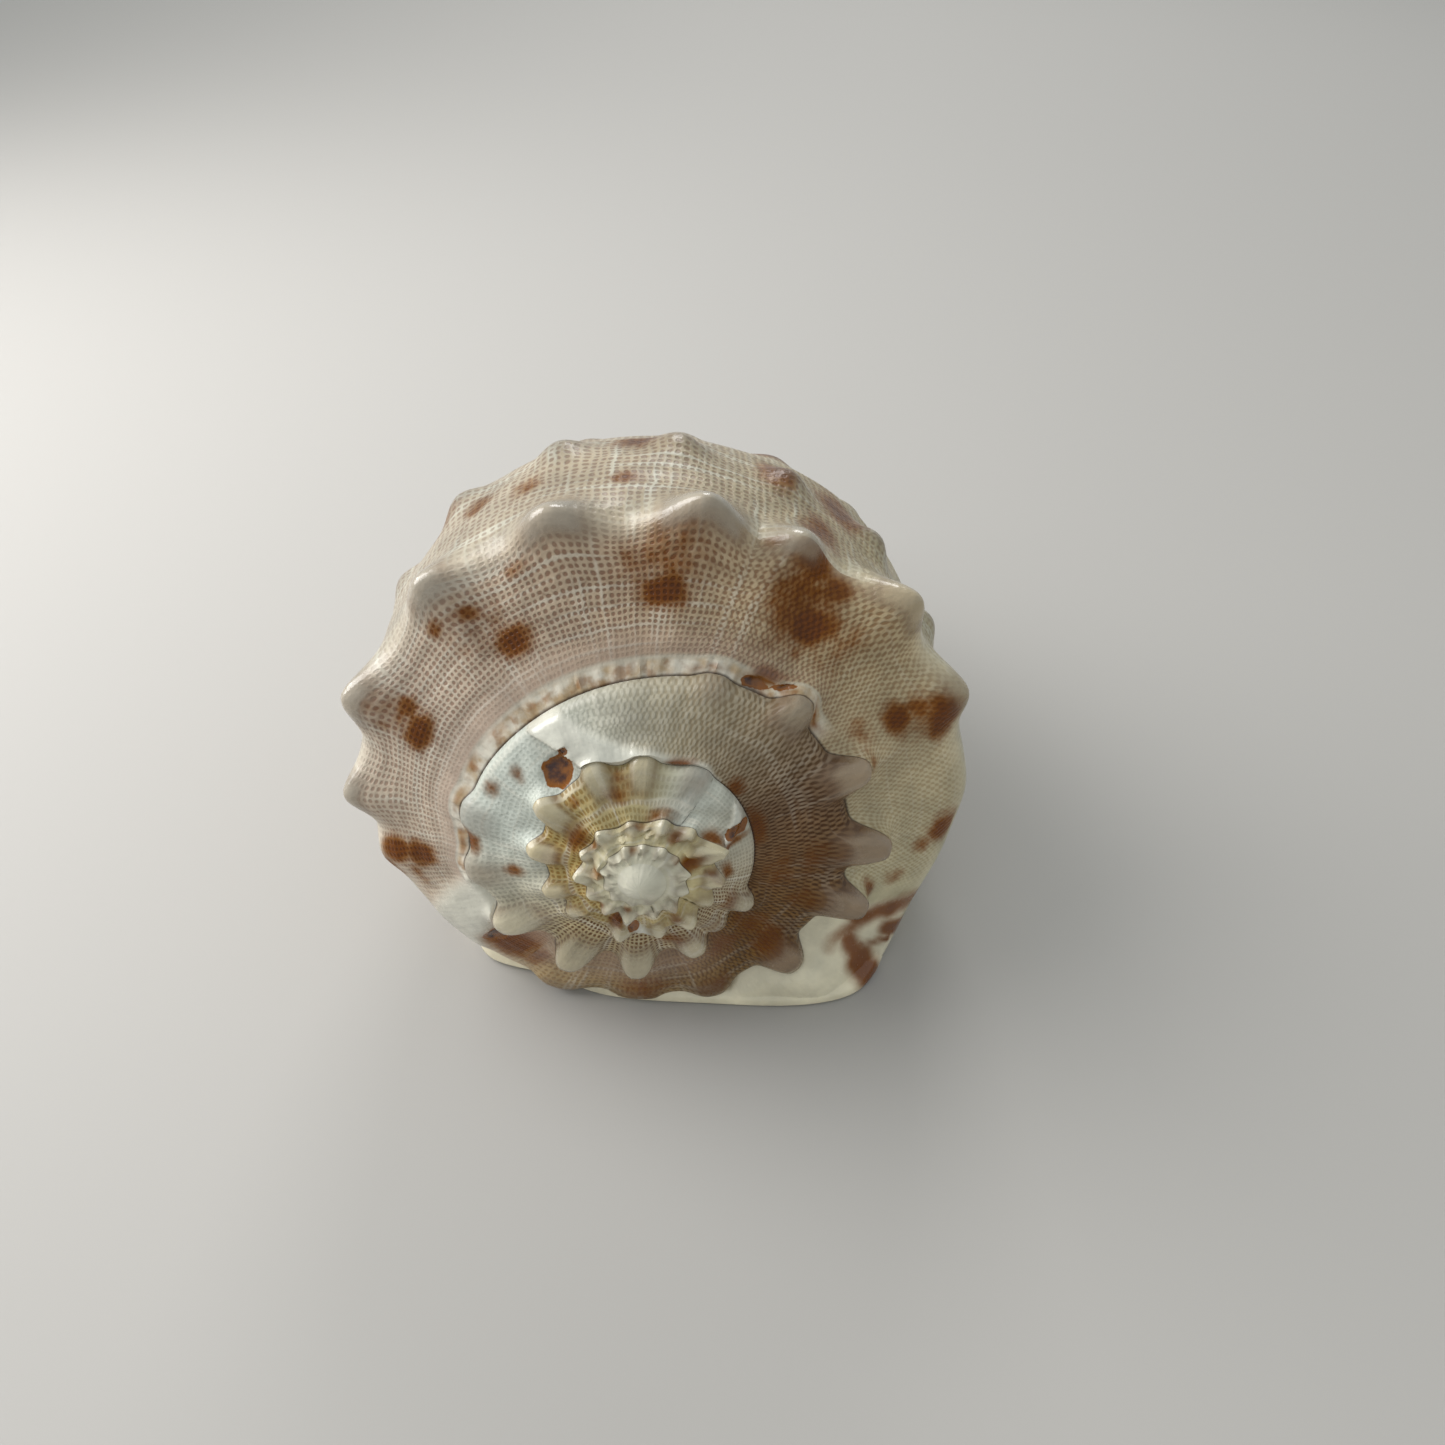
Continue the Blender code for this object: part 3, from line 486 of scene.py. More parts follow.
def coilLook(angle, share, rows, onFlank):
    # zones: net, stain, white glaze, band along the suture. marks: knob, crack with its painted shade,
    # amber, long pits.
    pits = pitCount(angle)
    zones = np.zeros((len(angle), 4))
    marks = np.zeros((len(angle), 4))
    height = np.clip(knobShare(angle) / level(look["fullKnob"], angle), 0, 1)
    if onFlank:
        knob = ease((height - 0.3) / 0.7) * bump(share, 0, 0.05)
        white, band, bare = 0 * share, 0 * share, 0 * share
        lowerKnob = sum(bump(share, row, 0.5 * halfWidth) for row, _, halfWidth in coil["lowerRows"])
        beat = 0.5 + 0.5 * np.cos(2 * np.pi * (angle - coil["lowerKnobStart"]) / coil["lowerKnobStep"])
        knob = np.maximum(knob, look["onFlank"]["lowerKnob"] * lowerKnob * beat**4)
    else:
        height = np.where(angle > -150, ease((height - 0.3) / 0.7), height)
        span = level(look["knobSpan"], angle)
        knob = height * ease((share - 1 + 1.6 * span) / span)
        white = np.maximum(ribShape(angle, share)[0], flapShape(angle, share))
        onBand = within(angle, look["suture"])
        band = onBand * (1 - ease((share - look["sutureEdge"][0]) / look["sutureEdge"][1]))
        white = np.maximum(white, 0.8 * onBand * bump(share, *look["sutureRim"]))
        bare = 1 - ease((share - look["bareEdge"][0]) / look["bareEdge"][1])
        bare = within(angle, look["bare"]) * bare
        # a shallow crack beside the band's white rim; its dark colour is painted shade
        marks[:, 1] = 0.5 * onBand * bump(share, *look["shadedSutureCrack"])
    start, slant, eased = look["lip"]
    lip = ease((angle - start + slant * (share - 0.5)) / eased)
    white = np.clip(np.maximum(white, lip), 0, 1)
    edge = bump(share, 0, look["onFlank"]["edge"]) if onFlank else bump(share, 1.0, 0.11)
    edge = edge * ease((angle + 150) / 40)
    net = level(look["net"], angle) * (1 - white) * (look["onFlank"]["net"] if onFlank else 1)
    for name, amount in (("band", band), ("bare", bare), ("knob", knob), ("edge", edge)):
        net = net * (1 - look["fadedBy"][name] * amount)
    white = np.maximum(white, 0.28 * edge)
    zones[:, 0] = np.clip(net, 0, 1)
    zones[:, 1] = spots(angle, share, backStains() if onFlank else look["shelfStains"], 1)
    zones[:, 2] = white
    zones[:, 3] = band
    marks[:, 0] = knob
    if not onFlank:
        marks[:, 2] = spots(angle, share, look["amber"], 3)
    marks[:, 3] = level(look["longPits"], angle) * (look["onFlank"]["longPits"] if onFlank else 1)
    return np.stack([pits, rows], axis=-1), zones, marks


def rampSheet(start, end, rows):
    def place(along, across):
        angle = coil["firstAngle"] + (start + along) * coil["step"]
        share = across / rows
        net, zones, marks = coilLook(angle, share, across * coil["pitRows"], False)
        radius, depth = rampPoint(angle, share)
        depth = depth - surfaceRelief(share, net, zones, marks)
        return inPlace(angle, radius, depth), net, zones, marks

    return sheet((end - start, rows), place)


def flankSheet(start, end):
    rows = coil["flankRows"]

    def place(along, across):
        angle = coil["firstAngle"] + (start + along) * coil["step"]
        share = across / rows
        rowsAbove = coil["rampRows"][-1][1]
        net, zones, marks = coilLook(angle, share, (rowsAbove + across) * coil["pitRows"], True)
        radius, depth = flankPoint(angle, share)
        radius = radius + surfaceRelief(share, net, zones, marks)
        return inPlace(angle, radius, depth), net, zones, marks

    return sheet((end - start, rows), place)


def wallSheet(lastRows):
    # The flat wall inside the lip, from the end of the last whorl back to its start one turn before.
    rows = coil["flankRows"]

    def place(along, across):
        onRamp = along < lastRows
        lip = np.full(len(along), coil["lipAngle"])
        ramp = rampPoint(lip, np.clip(along / lastRows, 0, 1))
        share = np.clip((along - lastRows) / rows, 0, 1)
        late, early = flankPoint(lip, share), flankPoint(lip - 360.0, share)
        radius = np.where(across == 0, np.where(onRamp, ramp[0], late[0]), early[0])
        depth = np.where(across == 0, np.where(onRamp, ramp[1], late[1]), early[1])
        return (inPlace(lip, radius, depth), *plainLook(len(along)))

    return sheet((lastRows + rows, 1), place)


def tipSheet(start, end):
    def place(along, across):
        angle = coil["firstAngle"] + (start + along) * coil["step"]
        radius, depth = flankPoint(angle, np.ones(len(angle)))
        points = inPlace(angle, radius, depth)
        centre = points[across == 0].mean(axis=0)
        return (np.where(across[:, None] == 0, points, centre), *plainLook(len(along)))

    return sheet((end - start, 1), place)


def buildCoil():
    total = coil["turns"] * coil["stepsPerTurn"]
    begins = [round((angle - coil["firstAngle"]) / coil["step"]) for angle, _ in coil["rampRows"]]
    sheets = []
    for begin, end, (_, rows) in zip(begins, begins[1:] + [total], coil["rampRows"]):
        sheets.append(rampSheet(begin, end, rows))
    lastTurn = total - coil["stepsPerTurn"]
    sheets += [flankSheet(lastTurn, total), wallSheet(coil["rampRows"][-1][1]), tipSheet(lastTurn, total)]
    return closedBody("coil", sheets)


foot = {
    "centre": (8.0, 85.0),
    # right, along, height of the rounded edge
    "rim": [
        (15, 9, 4), (34, 8.5, 4), (47, 11, 4), (54, 17, 6), (59, 28, 10), (64, 42, 14), (71, 58, 17),
        (77, 76, 18), (78, 96, 18), (74, 116, 17), (63, 134, 15), (47, 148, 13), (30, 157, 12),
        (13, 162, 12), (-8, 162, 10), (-26, 155, 8), (-42, 141, 7), (-54, 123, 6), (-61, 103, 6),
        (-62, 84, 6), (-59, 66, 6), (-53, 48, 6), (-47, 33, 6), (-41, 22, 7), (-26, 17, 6), (-10, 11, 5),
    ],
    # across the rim from below to above: inset in mm, inset and rise as shares of the height
    "inset": [(0, 2.2), (0.12, 0.5), (0.3, 0.0), (1, 0.0)],
    "insetShare": [(0, 0.0), (0.3, 0.0), (0.45, 0.16), (0.6, 0.5), (0.78, 1.0), (1, 1.7)],
    "rise": [(0, 0.0), (0.12, 0.12), (0.3, 0.32), (0.45, 0.66), (0.6, 0.92), (0.78, 1.0), (1, 0.8)],
    "around": 312,
    "over": 22,
}


def alongLoop(points, at):
    # A closed smooth curve through points, read at a place counted in points.
    points = np.array(points, float)
    count = len(points)
    left = np.floor(at).astype(int)
    t = (at - left)[:, None]
    a, b, c, d = (points[(left + k) % count] for k in (-1, 0, 1, 2))
    return 0.5 * (2 * b + (c - a) * t + (2 * a - 5 * b + 4 * c - d) * t**2 + (3 * b - a - 3 * c + d) * t**3)


def buildFoot():
    def place(along, across):
        rim = alongLoop(foot["rim"], along / foot["around"] * len(foot["rim"]))
        share = (across - 1) / (foot["over"] - 2)
        inward = np.array(foot["centre"]) - rim[:, :2]
        inward = inward / np.linalg.norm(inward, axis=1, keepdims=True)
        inset = smooth(foot["inset"], share) + smooth(foot["insetShare"], share) * rim[:, 2]
        flat = rim[:, :2] + inward * inset[:, None]
        points = np.column_stack([flat, smooth(foot["rise"], share) * rim[:, 2]])
        points[across == 0] = (*foot["centre"], 0.0)
        points[across == foot["over"]] = (*foot["centre"], coil["bellyHeight"] + 1.5)
        return (points, *plainLook(len(along)))

    return closedBody("foot", [sheet((foot["around"], foot["over"]), place)])


mouth = {
    # along, left edge, right edge
    "edges": [
        (30, 33, 38), (38, 28, 42), (50, 24, 42), (64, 20, 40), (80, 16, 37), (96, 12, 33), (112, 8, 28),
        (126, 4, 22), (138, 1, 16), (150, 0, 11), (158, 0, 9),
    ],
    "toothCount": 11,
    "toothSpan": (46.0, 138.0),
    "toothDepth": 3.2,
    "foldDepth": 1.6,
    "stations": 150,
    # height, how much of the teeth, how much wider
    "throat": [
        (-6, 1.0, 0.0), (0.5, 1.0, 0.0), (2.5, 1.0, 0.1), (5, 0.9, 0.5), (8, 0.5, 1.8), (12, 0.0, 4.0),
    ],
    "hollowAngles": [112, 104, 96, 87, 78, 69, 60, 50, 40, 30, 20, 10, 0, -10, -20, -30, -40, -48, -56],
    "hollowShrink": 0.6,
    "wall": [(-56, 6.0), (78, 5.6), (96, 4.4), (112, 4.9)],
    "columella": 17.0,
    "hollowEnds": (13.0, 128.0),
}


def mouthEdge(along, side):
    return smooth([(row[0], row[side]) for row in mouth["edges"]], along)


def teeth(along):
    low, high = mouth["toothSpan"]
    share = (along - low) / (high - low)
    fade = ease(share / 0.12) * ease((1 - share) / 0.12)
    return fade * np.sin(np.pi * mouth["toothCount"] * np.clip(share, 0, 1)) ** 2


def throatRing(up, bite, spread, along):
    left = mouthEdge(along, 1) + bite * mouth["foldDepth"] * teeth(along + 4.0) - 0.3 * spread
    right = mouthEdge(along, 2) - bite * mouth["toothDepth"] * teeth(along) + spread
    flat = np.full(len(along), float(up))
    return np.stack([left, along, flat], axis=1), np.stack([right, along, flat], axis=1)


def hollowRing(angle, shrink, even):
    first, last = mouth["hollowEnds"]
    angle = np.full(len(even), float(angle))
    nearDepth = shoulderDepth(angle) + first
    depth = nearDepth + (last - nearDepth) * even
    roundOff = np.sqrt(np.clip(1 - (2 * even - 1) ** 4, 0, 1))
    start = shoulderDepth(angle) + edgeDrop(angle)
    share = (depth - start) / (coil["flankEnd"] - start)
    outer = shoulderRadius(angle) * smooth(coil["flank"], share) - level(mouth["wall"], angle)
    middle = (outer + mouth["columella"]) / 2
    half = (outer - mouth["columella"]) / 2 * roundOff * shrink + 0.6
    return inPlace(angle, middle - half, depth, -100.0), inPlace(angle, middle + half, depth, -100.0)


def buildHollow():
    stations = mouth["stations"]
    even = np.linspace(0, 1, stations)
    along = mouth["edges"][0][0] + (mouth["edges"][-1][0] - mouth["edges"][0][0]) * even
    rings = [throatRing(up, bite, spread, along) for up, bite, spread in mouth["throat"]]
    shrinks = np.linspace(1.0, mouth["hollowShrink"], len(mouth["hollowAngles"]))
    rings += [hollowRing(angle, shrink, even) for angle, shrink in zip(mouth["hollowAngles"], shrinks)]
    loops = np.array([np.concatenate([near, far[::-1], near[:1]]) for near, far in rings])
    ends = [np.broadcast_to(loops[k].mean(axis=0), loops[k].shape) for k in (0, -1)]
    loops = np.array([ends[0], *loops, ends[1]])

    def place(around, deep):
        return (loops[deep.astype(int), around.astype(int)], *plainLook(len(around)))

    return closedBody("hollow", [sheet((2 * stations, len(loops) - 1), place)])


canal = {
    # right, along, up, radius
    "tube": [
        (4, 132, 20, 19), (2, 144, 20, 20), (0, 154, 23, 19), (-3, 162, 29, 17), (-6, 167, 37, 14.5),
        (-9, 169, 45, 12.5), (-11, 169, 53, 11),
    ],
    "groove": [
        (6, 142, -4, 5), (5, 152, 0, 5), (4, 163, 7, 5.5), (1, 172, 16, 6), (-3, 178, 28, 6.5),
        (-7, 180, 40, 7), (-10, 179, 50, 7.5), (-13, 176, 62, 8.5),
    ],
    "sides": 56,
    "rings": 40,
}


def buildTube(name, path):
    table = np.array(path, float)
    places = np.arange(len(table), dtype=float)
    rings = canal["rings"]
    even = np.linspace(0, len(table) - 1, rings - 1)
    line = np.column_stack([smooth(list(zip(places, table[:, k])), even) for k in range(4)])
    heading = np.gradient(line[:, :3], axis=0)
    heading = heading / np.linalg.norm(heading, axis=1, keepdims=True)
    sideways = np.cross(heading, (0, 0, 1.0))
    sideways = sideways / np.linalg.norm(sideways, axis=1, keepdims=True)
    over = np.cross(sideways, heading)

    def place(around, along):
        ring = np.clip(along - 1, 0, rings - 2).astype(int)
        turn = around / canal["sides"] * 2 * np.pi
        radius = np.where((along == 0) | (along == rings), 0.0, line[ring, 3])
        out = sideways[ring] * np.cos(turn)[:, None] + over[ring] * np.sin(turn)[:, None]
        return (line[ring, :3] + out * radius[:, None], *plainLook(len(around)))

    return closedBody(name, [sheet((canal["sides"], rings), place)])


def combine(target, other, operation):
    step = target.modifiers.new(other.name, "BOOLEAN")
    step.operation, step.object, step.solver = operation, other, "MANIFOLD"
    bpy.context.view_layer.update()
    graph = bpy.context.evaluated_depsgraph_get()
    mesh = bpy.data.meshes.new_from_object(target.evaluated_get(graph))
    target.modifiers.clear()
    target.data = mesh
    bpy.data.objects.remove(other)


shell = buildCoil()
combine(shell, buildFoot(), "UNION")
combine(shell, buildTube("canal", canal["tube"]), "UNION")
combine(shell, buildHollow(), "DIFFERENCE")
combine(shell, buildTube("groove", canal["groove"]), "DIFFERENCE")
shell.name = shell.data.name = "helmetShell"
shell.data.shade_smooth()
shell.data.set_sharp_from_angle(angle=math.radians(50.0))
print("shell has", sum(len(face.vertices) - 2 for face in shell.data.polygons), "triangles")


def linear(hexColour, alpha=1.0):
    parts = [int(hexColour[k : k + 2], 16) / 255 for k in (1, 3, 5)]
    return (*[p / 12.92 if p <= 0.04045 else ((p + 0.055) / 1.055) ** 2.4 for p in parts], alpha)


def node(tree, kind, inputs=(), **settings):
    # Adds a node with its settings and gives its output. Inputs go in by name, or else in order.
    made = tree.nodes.new("ShaderNode" + kind)
    for name, value in settings.items():
        setattr(made, name, value)
    if not isinstance(inputs, dict):
        inputs = dict(zip([place for place, socket in enumerate(made.inputs) if socket.enabled], inputs))
    for place, value in inputs.items():
        if isinstance(value, bpy.types.NodeSocket):
            tree.links.new(value, made.inputs[place])
        else:
            made.inputs[place].default_value = value
    return next(socket for socket in made.outputs if socket.enabled)


# Aragonite shell, grown in layers and polished by wear: a pale ground under a net of sunk brown pits,
# rust stains that follow the pits, smooth white where old lips stand, and a porcelain gloss over all.
aragonite = {
    # colours along the growth
    "bands": {
        "ground": [
            (-1997, "#d6d2c2"), (-1300, "#d2ccb6"), (-1000, "#c5b994"), (-800, "#ae9868"),
            (-715, "#b8ab86"), (-690, "#c2c4ba"), (-600, "#b3a58c"), (-500, "#b7a684"), (-440, "#cfd2c8"),
            (-400, "#c8cac0"), (-345, "#b3a994"), (-290, "#7d654f"), (-215, "#7a5a32"), (-150, "#b39c78"),
            (-130, "#c4b4a0"), (-60, "#c5b6a5"), (0, "#b8a48d"), (40, "#b8a586"), (75, "#b8aa8e"),
            (112, "#c4bb9e"), (163, "#d8d0b0"),
        ],
        "pit": [
            (-1997, "#b8ad94"), (-1300, "#b09d78"), (-1000, "#9a7a48"), (-800, "#7a5626"),
            (-715, "#8a7140"), (-690, "#a3a498"), (-600, "#6a4a2c"), (-500, "#5c3a18"), (-440, "#a6aaa0"),
            (-400, "#a8aca2"), (-345, "#7c6a4c"), (-290, "#452912"), (-215, "#3c1f08"), (-150, "#7c5a30"),
            (-130, "#a58e7e"), (-60, "#957c6d"), (0, "#876c5a"), (40, "#866a4e"), (75, "#927c60"),
            (112, "#978262"), (163, "#b0a080"),
        ],
        "rust": [
            (-1997, "#8a5c2a"), (-560, "#7c5024"), (-320, "#68411c"), (-215, "#6a431c"),
            (-140, "#845627"), (163, "#7a4a20"),
        ],
        "glaze": [
            (-1997, "#dcd9cc"), (-300, "#d6d3c6"), (-90, "#d0ccbe"), (100, "#dad3bc"), (163, "#e6dcc2"),
        ],
        "knob": [
            (-1997, "#d2ccb8"), (-900, "#c6bda6"), (-600, "#b9b09a"), (-480, "#b9b09a"),
            (-330, "#a6967e"), (-200, "#948270"), (-110, "#948a7c"), (20, "#8c8174"), (40, "#a08f76"),
            (163, "#b5a68a"),
        ],
    },
    "stainPit": "#6a3a14",
    "stainCore": "#532a0c",
    # painted shade around the sides of each knob
    "paintedKnobShade": "#66503f",
    "sutureBand": "#b09a7c",
    "amber": "#3a1405",
    "amberRim": "#84501f",
    # painted shade in the crack by the suture band and along the seams between whorls
    "crackAndShade": "#2a1608",
    "line": "#dcd6c8",
    "inner": "#a48f83",
    "belowTint": "#dfe6e6",
    # size in mm and detail of each cloudy pattern
    "clouds": {
        "blotch": (9.0, 3.0), "grain": (0.7, 2.0), "crumple": (4.0, 4.0), "bandSpot": (3.4, 3.0),
        "dent": (2.2, 3.0),
    },
    # the same, and how far it moves or breaks up what it is added to
    "ragged": {
        "pits": (7.0, 2.0, 1.6), "rows": (6.0, 2.0, 1.2), "stain": (3.2, 4.0, 0.9),
        "bandStain": (2.0, 3.0, 1.0), "smear": (7.0, 4.0, 0.7), "glass": (3.0, 4.0, 1.7),
    },
    # cycles to each pit and row, and detail
    "stretched": {
        "growthLine": (0.55, 0.05, 2.0), "spiralLine": (0.03, 0.6, 1.0), "eachPit": (0.9, 0.9, 1.0),
    },
    "pitRagged": 0.9,
    # where each mask starts and is full; one that ends in 1, 0 fades out instead
    "masks": {
        "pit": (0.45, 1.07), "growthLine": (0.56, 0.68), "spiralLine": (0.56, 0.68),
        "halo": (0.0, 0.7), "haloFoot": (0.0, 0.3), "core": (0.5, 1.0), "coreFoot": (0.1, 0.4),
        "lastWhorl": (0.82, 0.84), "inner": (3.0, 12.0, 1.0, 0.0), "innerEnd": (0.93, 0.96, 1.0, 0.0),
        "below": (26.0, 30.0), "crumple": (0.35, 0.65), "bandSpot": (0.48, 0.7), "bandStain": (0.2, 0.9),
        "smearFoot": (0.0, 0.3), "smear": (0.0, 0.9), "smearCore": (0.35, 1.1), "knobTop": (0.35, 0.95),
        "glassFoot": (0.0, 0.25), "glassRim": (0.3, 0.45), "glass": (0.7, 1.1),
        # the next two lay the painted shade along each seam: over its first rows across, and from this share
        # of the growth on
        "suture": (0.03, 0.33, 1.0, 0.0), "sutureStart": (0.28, 0.42),
    },
    # how much of each layer; three of them set how dark the painted shade is, around the knobs, in the crack
    # and along the seams
    "strength": {
        "paleLine": 0.45, "halo": 0.9, "core": 0.95, "inner": 0.5, "band": 0.85, "bandSpot": 0.6,
        "smearCore": 0.9, "paintedKnobShade": 3.4, "knobTop": 0.62, "crackAndShade": 0.6, "suture": 0.85,
    },
    "longPitLines": -0.75,  # pale lines fade where the pits are long
    "unevenness": (0.9, 0.55),  # brightness: how far the blotches change it, and the least
    "saturation": 1.12,  # the colours are richer under the gloss
    "refraction": 1.5,
    "roughness": (0.18, 0.27),  # of the grain, and the least
    "roughnessOfAmber": -0.2,
    "roughnessOfGlaze": -0.12,
    "coat": (0.4, 0.1),  # where polished, and everywhere
    "coatRoughness": 0.12,
    "specular": (0.25, 0.22),
    "relief": {"pit": -0.2, "grain": 0.08, "growthLine": 0.35, "dent": 0.25},  # mm
    "bumpStrength": 0.8,
}


def layered(tree, colour, layers):
    # Lays colours over a colour. Each layer's factors are multiplied to give how much it covers.
    for factors, other in layers:
        amount = factors[0]
        for factor in factors[1:]:
            amount = node(tree, "Math", (amount, factor), operation="MULTIPLY")
        colour = node(tree, "Mix", (amount, colour, other), data_type="RGBA")
    return colour


def shellMaterial():
    made = bpy.data.materials.new("glazedAragonite")
    made.use_nodes = True
    tree = made.node_tree
    surface = tree.nodes["Principled BSDF"]
    times, plus = {"operation": "MULTIPLY"}, {"operation": "MULTIPLY_ADD"}
    soft = {"interpolation_type": "SMOOTHSTEP"}
    net = node(tree, "UVMap", uv_map="net")
    place = node(tree, "SeparateXYZ", (net,)).node.outputs
    body = node(tree, "TexCoord").node.outputs["Object"]
    inMm = node(tree, "VectorMath", (body, 1 / mm), operation="SCALE")
    painted = [node(tree, "Attribute", attribute_name=name).node.outputs for name in ("zones", "marks")]
    zone, mark = (node(tree, "SeparateColor", (found["Color"],)).node.outputs for found in painted)
    netAmount, stain, white, band = (*zone, painted[0]["Alpha"])
    knob, crackAndShade, amber, long = (*mark, painted[1]["Alpha"])
    solid = {name: linear(value) for name, value in aragonite.items() if isinstance(value, str)}
    edges, strength = aragonite["masks"], aragonite["strength"]

    # how far along the growth, from 0 at the apex to 1 at the lip
    size = node(tree, "Math", (place[0], pitCount(0.0)), operation="DIVIDE")
    turn = node(tree, "Math", (size, coil["growthPerTurn"] ** coil["pitGrowth"]), operation="LOGARITHM")
    perTurn = 1 / coil["turns"]
    growth = node(tree, "Math", (turn, perTurn, -coil["firstAngle"] / 360.0 * perTurn), **plus)
    bands = {}
    for name, stops in aragonite["bands"].items():
        bands[name] = node(tree, "ValToRGB", (growth,))
        elements = bands[name].node.color_ramp.elements
        while len(elements) < len(stops):
            elements.new(0.5)
        for element, (angle, colour) in zip(elements, stops):
            element.position = (angle - coil["firstAngle"]) / (360.0 * coil["turns"])
            element.color = linear(colour)

    clouds, ragged, stretched = {}, {}, {}
    for name, (cloudSize, detail) in aragonite["clouds"].items():
        clouds[name] = node(tree, "TexNoise", (inMm, 1 / cloudSize, detail))
    values = dict.fromkeys(aragonite["ragged"], stain)
    values.update(pits=place[0], rows=place[1], glass=amber)
    for name, (cloudSize, detail, reach) in aragonite["ragged"].items():
        cloud = node(tree, "TexNoise", (inMm, 1 / cloudSize, detail))
        moved = node(tree, "Math", (cloud, reach, values[name]), **plus)
        ragged[name] = node(tree, "Math", (moved, reach / 2), operation="SUBTRACT")
    for name, (along, across, detail) in aragonite["stretched"].items():
        drawn = node(tree, "VectorMath", (net, (along, across, 0.0)), **times)
        stretched[name] = node(tree, "TexNoise", (drawn, 1.0, detail))

    # each pit is 1 in its middle and 0 on the ridges; long pits reach into each other's rows
    waves = []
    for name, cycle in (("pits", 2 * math.pi), ("rows", 2 * math.pi), ("rows", math.pi)):
        turned = node(tree, "Math", (ragged[name], cycle), **times)
        waves.append(node(tree, "Math", (turned,), operation="COSINE"))
    waves[2] = node(tree, "Math", (waves[0], waves[2]), **times)
    dips = [node(tree, "Math", (wave, -0.5, 0.5), **plus) for wave in waves]
    short = node(tree, "Math", (dips[0], dips[1]), **times)
    lens = node(tree, "Math", (dips[2], 2.0), operation="POWER")
    pit = node(tree, "Mix", (long, short, lens), data_type="FLOAT")
    pit = node(tree, "Math", (stretched["eachPit"], aragonite["pitRagged"], pit), **plus)

    smearFoot = node(tree, "MapRange", (stain, *edges["smearFoot"]), **soft)
    smear = node(tree, "Math", (ragged["smear"], smearFoot), **times)
    glassFoot = node(tree, "MapRange", (amber, *edges["glassFoot"]), **soft)
    glass = node(tree, "Math", (ragged["glass"], glassFoot), **times)
    sources = {
        "pit": pit, "growthLine": stretched["growthLine"], "spiralLine": stretched["spiralLine"],
        "halo": ragged["stain"], "haloFoot": stain, "core": ragged["stain"], "coreFoot": stain,
        "lastWhorl": growth, "inner": place[1], "innerEnd": growth, "below": place[1],
        "crumple": clouds["crumple"], "bandSpot": clouds["bandSpot"], "bandStain": ragged["bandStain"],
        "smear": smear, "smearCore": smear, "knobTop": knob, "glassRim": glass, "glass": glass,
        "sutureStart": growth,
    }
    mask = {}
    for name, source in sources.items():
        mask[name] = node(tree, "MapRange", (source, *edges[name]), **soft)

    depthOfPit = node(tree, "Math", (mask["pit"], netAmount), **times)
    paleLine = node(tree, "Math", (mask["growthLine"], mask["spiralLine"]), operation="MAXIMUM")
    lessLong = node(tree, "Math", (long, aragonite["longPitLines"], 1.0), **plus)
    halo, core = (mask["halo"], mask["haloFoot"]), (mask["core"], mask["coreFoot"])
    ridge = layered(tree, bands["ground"], (
        ((paleLine, lessLong, strength["paleLine"]), solid["line"]),
        ((*halo, strength["halo"]), bands["rust"]), ((*core, strength["core"]), solid["stainPit"]),
    ))
    hole = layered(tree, bands["pit"], ((halo, solid["stainPit"]), (core, solid["stainCore"])))
    crumpled = layered(tree, solid["sutureBand"], (((mask["crumple"],), solid["line"]),))
    smeared = layered(tree, bands["glaze"], (
        ((mask["smear"],), bands["rust"]),
        ((mask["smearCore"], strength["smearCore"]), solid["stainPit"]),
    ))

    notKnob, notWhite = (node(tree, "Math", (1.0, value), operation="SUBTRACT") for value in (knob, white))
    # painted shade along the seam where a whorl meets the one before; the last whorl has twice the rows
    rowScale = node(tree, "Math", (mask["lastWhorl"], 1.0), operation="ADD")
    seamShade = node(tree, "Math", (place[1], rowScale), operation="DIVIDE")
    seamShade = node(tree, "MapRange", (seamShade, *edges["suture"]), **soft)
    seamShade = node(tree, "Math", (seamShade, mask["sutureStart"]), **times)
    seamShade = node(tree, "Math", (seamShade, strength["suture"]), **times)
    # painted shade in the crack, joined with the painted shade along the seam
    crackShade = node(tree, "Math", (crackAndShade, strength["crackAndShade"]), **times)
    paintedCreaseShade = node(tree, "Math", (crackShade, seamShade), operation="MAXIMUM")
    colour = layered(tree, ridge, (
        ((depthOfPit,), hole),
        ((mask["inner"], mask["lastWhorl"], mask["innerEnd"], strength["inner"]), solid["inner"]),
        ((band, strength["band"]), crumpled),
        ((mask["bandSpot"], strength["bandSpot"], band), bands["rust"]),
        ((band, mask["bandStain"]), bands["rust"]), ((white,), smeared),
        # painted shade in a ring around each knob's sides, broken up by the blotches
        ((knob, notKnob, strength["paintedKnobShade"], clouds["blotch"]), solid["paintedKnobShade"]),
        ((mask["knobTop"], strength["knobTop"]), bands["knob"]), ((mask["glassRim"],), solid["amberRim"]),
        # last comes the painted shade in the crack and along the seams
        ((mask["glass"],), solid["amber"]), ((paintedCreaseShade,), solid["crackAndShade"]),
    ))
    below = node(tree, "Math", (mask["below"], mask["lastWhorl"]), **times)
    below = node(tree, "Math", (below, notWhite), **times)
    colour = node(tree, "Mix", (below, colour, solid["belowTint"]), data_type="RGBA", blend_type="MULTIPLY")
    bright = node(tree, "Math", (clouds["blotch"], *aragonite["unevenness"]), **plus)
    bright = {"Color": colour, "Value": bright, "Saturation": aragonite["saturation"]}
    tree.links.new(node(tree, "HueSaturation", bright), surface.inputs["Base Color"])

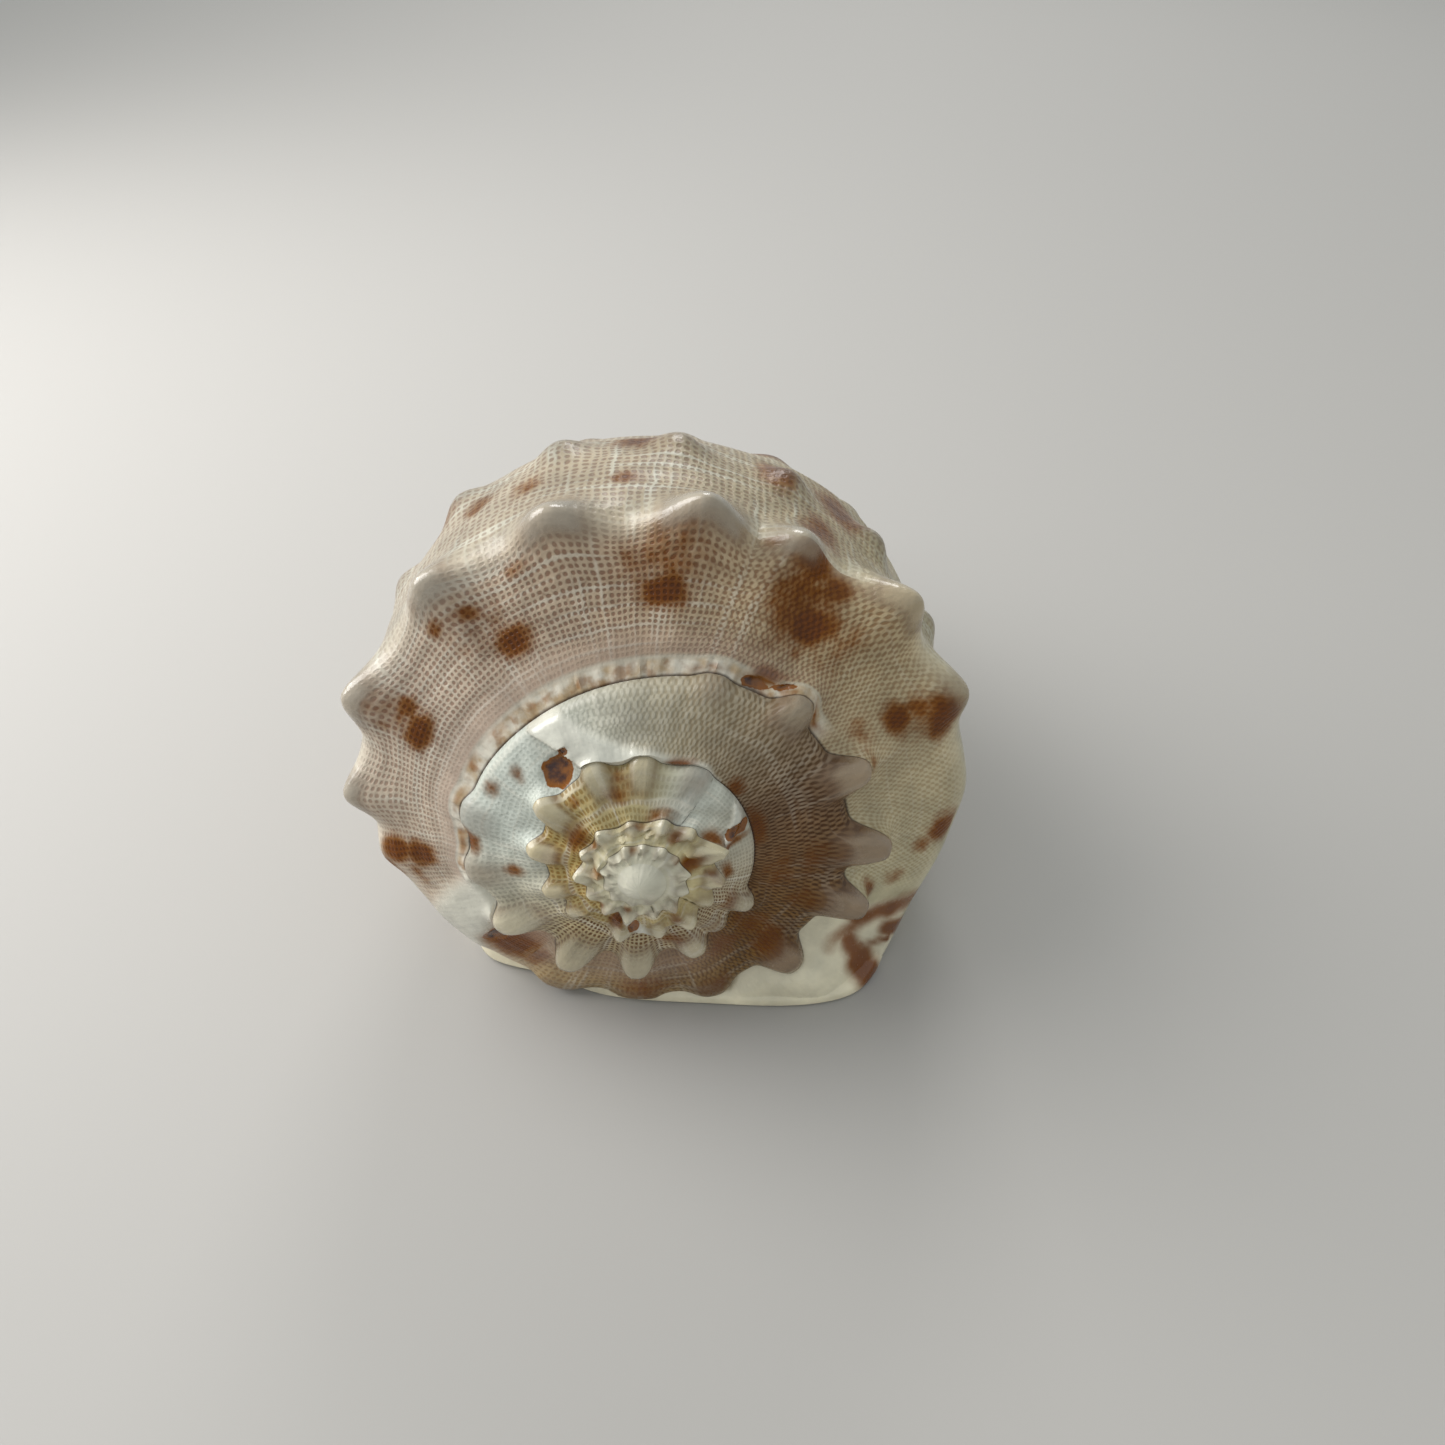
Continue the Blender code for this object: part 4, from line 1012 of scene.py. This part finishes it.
    glazed = node(tree, "Math", (white, knob), operation="MAXIMUM")
    polished = node(tree, "Math", (glazed, amber), operation="MAXIMUM")
    rough = node(tree, "Math", (clouds["grain"], *aragonite["roughness"]), **plus)
    rough = node(tree, "Math", (amber, aragonite["roughnessOfAmber"], rough), **plus)
    rough = node(tree, "Math", (glazed, aragonite["roughnessOfGlaze"], rough), **plus, use_clamp=True)
    tree.links.new(rough, surface.inputs["Roughness"])
    for socket, share in (("Coat Weight", aragonite["coat"]), ("Specular IOR Level", aragonite["specular"])):
        share = node(tree, "Math", (polished, *share), **plus)
        tree.links.new(share, surface.inputs[socket])
    surface.inputs["IOR"].default_value = aragonite["refraction"]
    surface.inputs["Coat Roughness"].default_value = aragonite["coatRoughness"]
    height = 0.0
    raised = {**clouds, **stretched, "pit": depthOfPit}
    for name, value in ((name, raised[name]) for name in aragonite["relief"]):
        height = node(tree, "Math", (value, aragonite["relief"][name], height), **plus)
    raised = {"Height": height, "Distance": mm, "Strength": aragonite["bumpStrength"]}
    tree.links.new(node(tree, "Bump", raised), surface.inputs["Normal"])
    return made


shell.data.materials.clear()
shell.data.materials.append(shellMaterial())
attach(shell, "root")
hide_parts("helmet_shell")
print("shell finished")

studio = {
    "floorColour": "#aca8a3",
    "floorRoughness": 0.8,
    "floorSize": 3.0,
    "camera": (16.9, -134.8, 229.3),  # from the apex's foot on the table, in mm
    "cameraDrop": 43.3,
    "lens": 27.03,
    "worldColour": "#e9f0f2",
    "worldStrength": 0.71,
    # place in metres, size in metres, watts
    "lights": [
        ("windowLight", (-0.58, 0.12, 0.50), 0.62, 6.8), ("doorLight", (0.1, 1.4, 1.1), 0.6, 8.0),
        ("ceilingLight", (-0.1, 0.3, 2.2), 1.6, 2.0),
    ],
}


def buildStudio():
    bm = bmesh.new()
    bmesh.ops.create_grid(bm, x_segments=1, y_segments=1, size=studio["floorSize"] / 2)
    mesh = bpy.data.meshes.new("floor")
    bm.to_mesh(mesh)
    bm.free()
    floor = makePlain(mesh, "floor")
    paper = bpy.data.materials.new("mattePaper")
    paper.use_nodes = True
    surface = paper.node_tree.nodes["Principled BSDF"]
    surface.inputs["Base Color"].default_value = linear(studio["floorColour"])
    surface.inputs["Roughness"].default_value = studio["floorRoughness"]
    mesh.materials.append(paper)
    world = bpy.data.worlds.new("softRoom")
    bpy.context.scene.world = world
    world.use_nodes = True
    world.node_tree.nodes["Background"].inputs[0].default_value = linear(studio["worldColour"])
    world.node_tree.nodes["Background"].inputs[1].default_value = studio["worldStrength"]
    for name, place, size, power in studio["lights"]:
        light = bpy.data.lights.new(name, "AREA")
        light.size, light.energy = size, power
        lamp = bpy.data.objects.new(name, light)
        lamp.location = place
        lamp.rotation_euler = (-Vector(place)).to_track_quat("-Z", "Y").to_euler()
        bpy.context.scene.collection.objects.link(lamp)
    camera = bpy.data.cameras.new("camera")
    camera.lens, camera.sensor_width, camera.clip_start = studio["lens"], 36.0, 0.01
    held = bpy.data.objects.new("camera", camera)
    held.location = (Vector(studio["camera"]) - Vector(coil["origin"])) * mm
    held.rotation_euler = (math.radians(90 - studio["cameraDrop"]), 0, 0)
    bpy.context.scene.collection.objects.link(held)
    bpy.context.scene.camera = held
    bpy.context.scene.view_settings.view_transform = "Standard"


buildStudio()
print("studio finished")
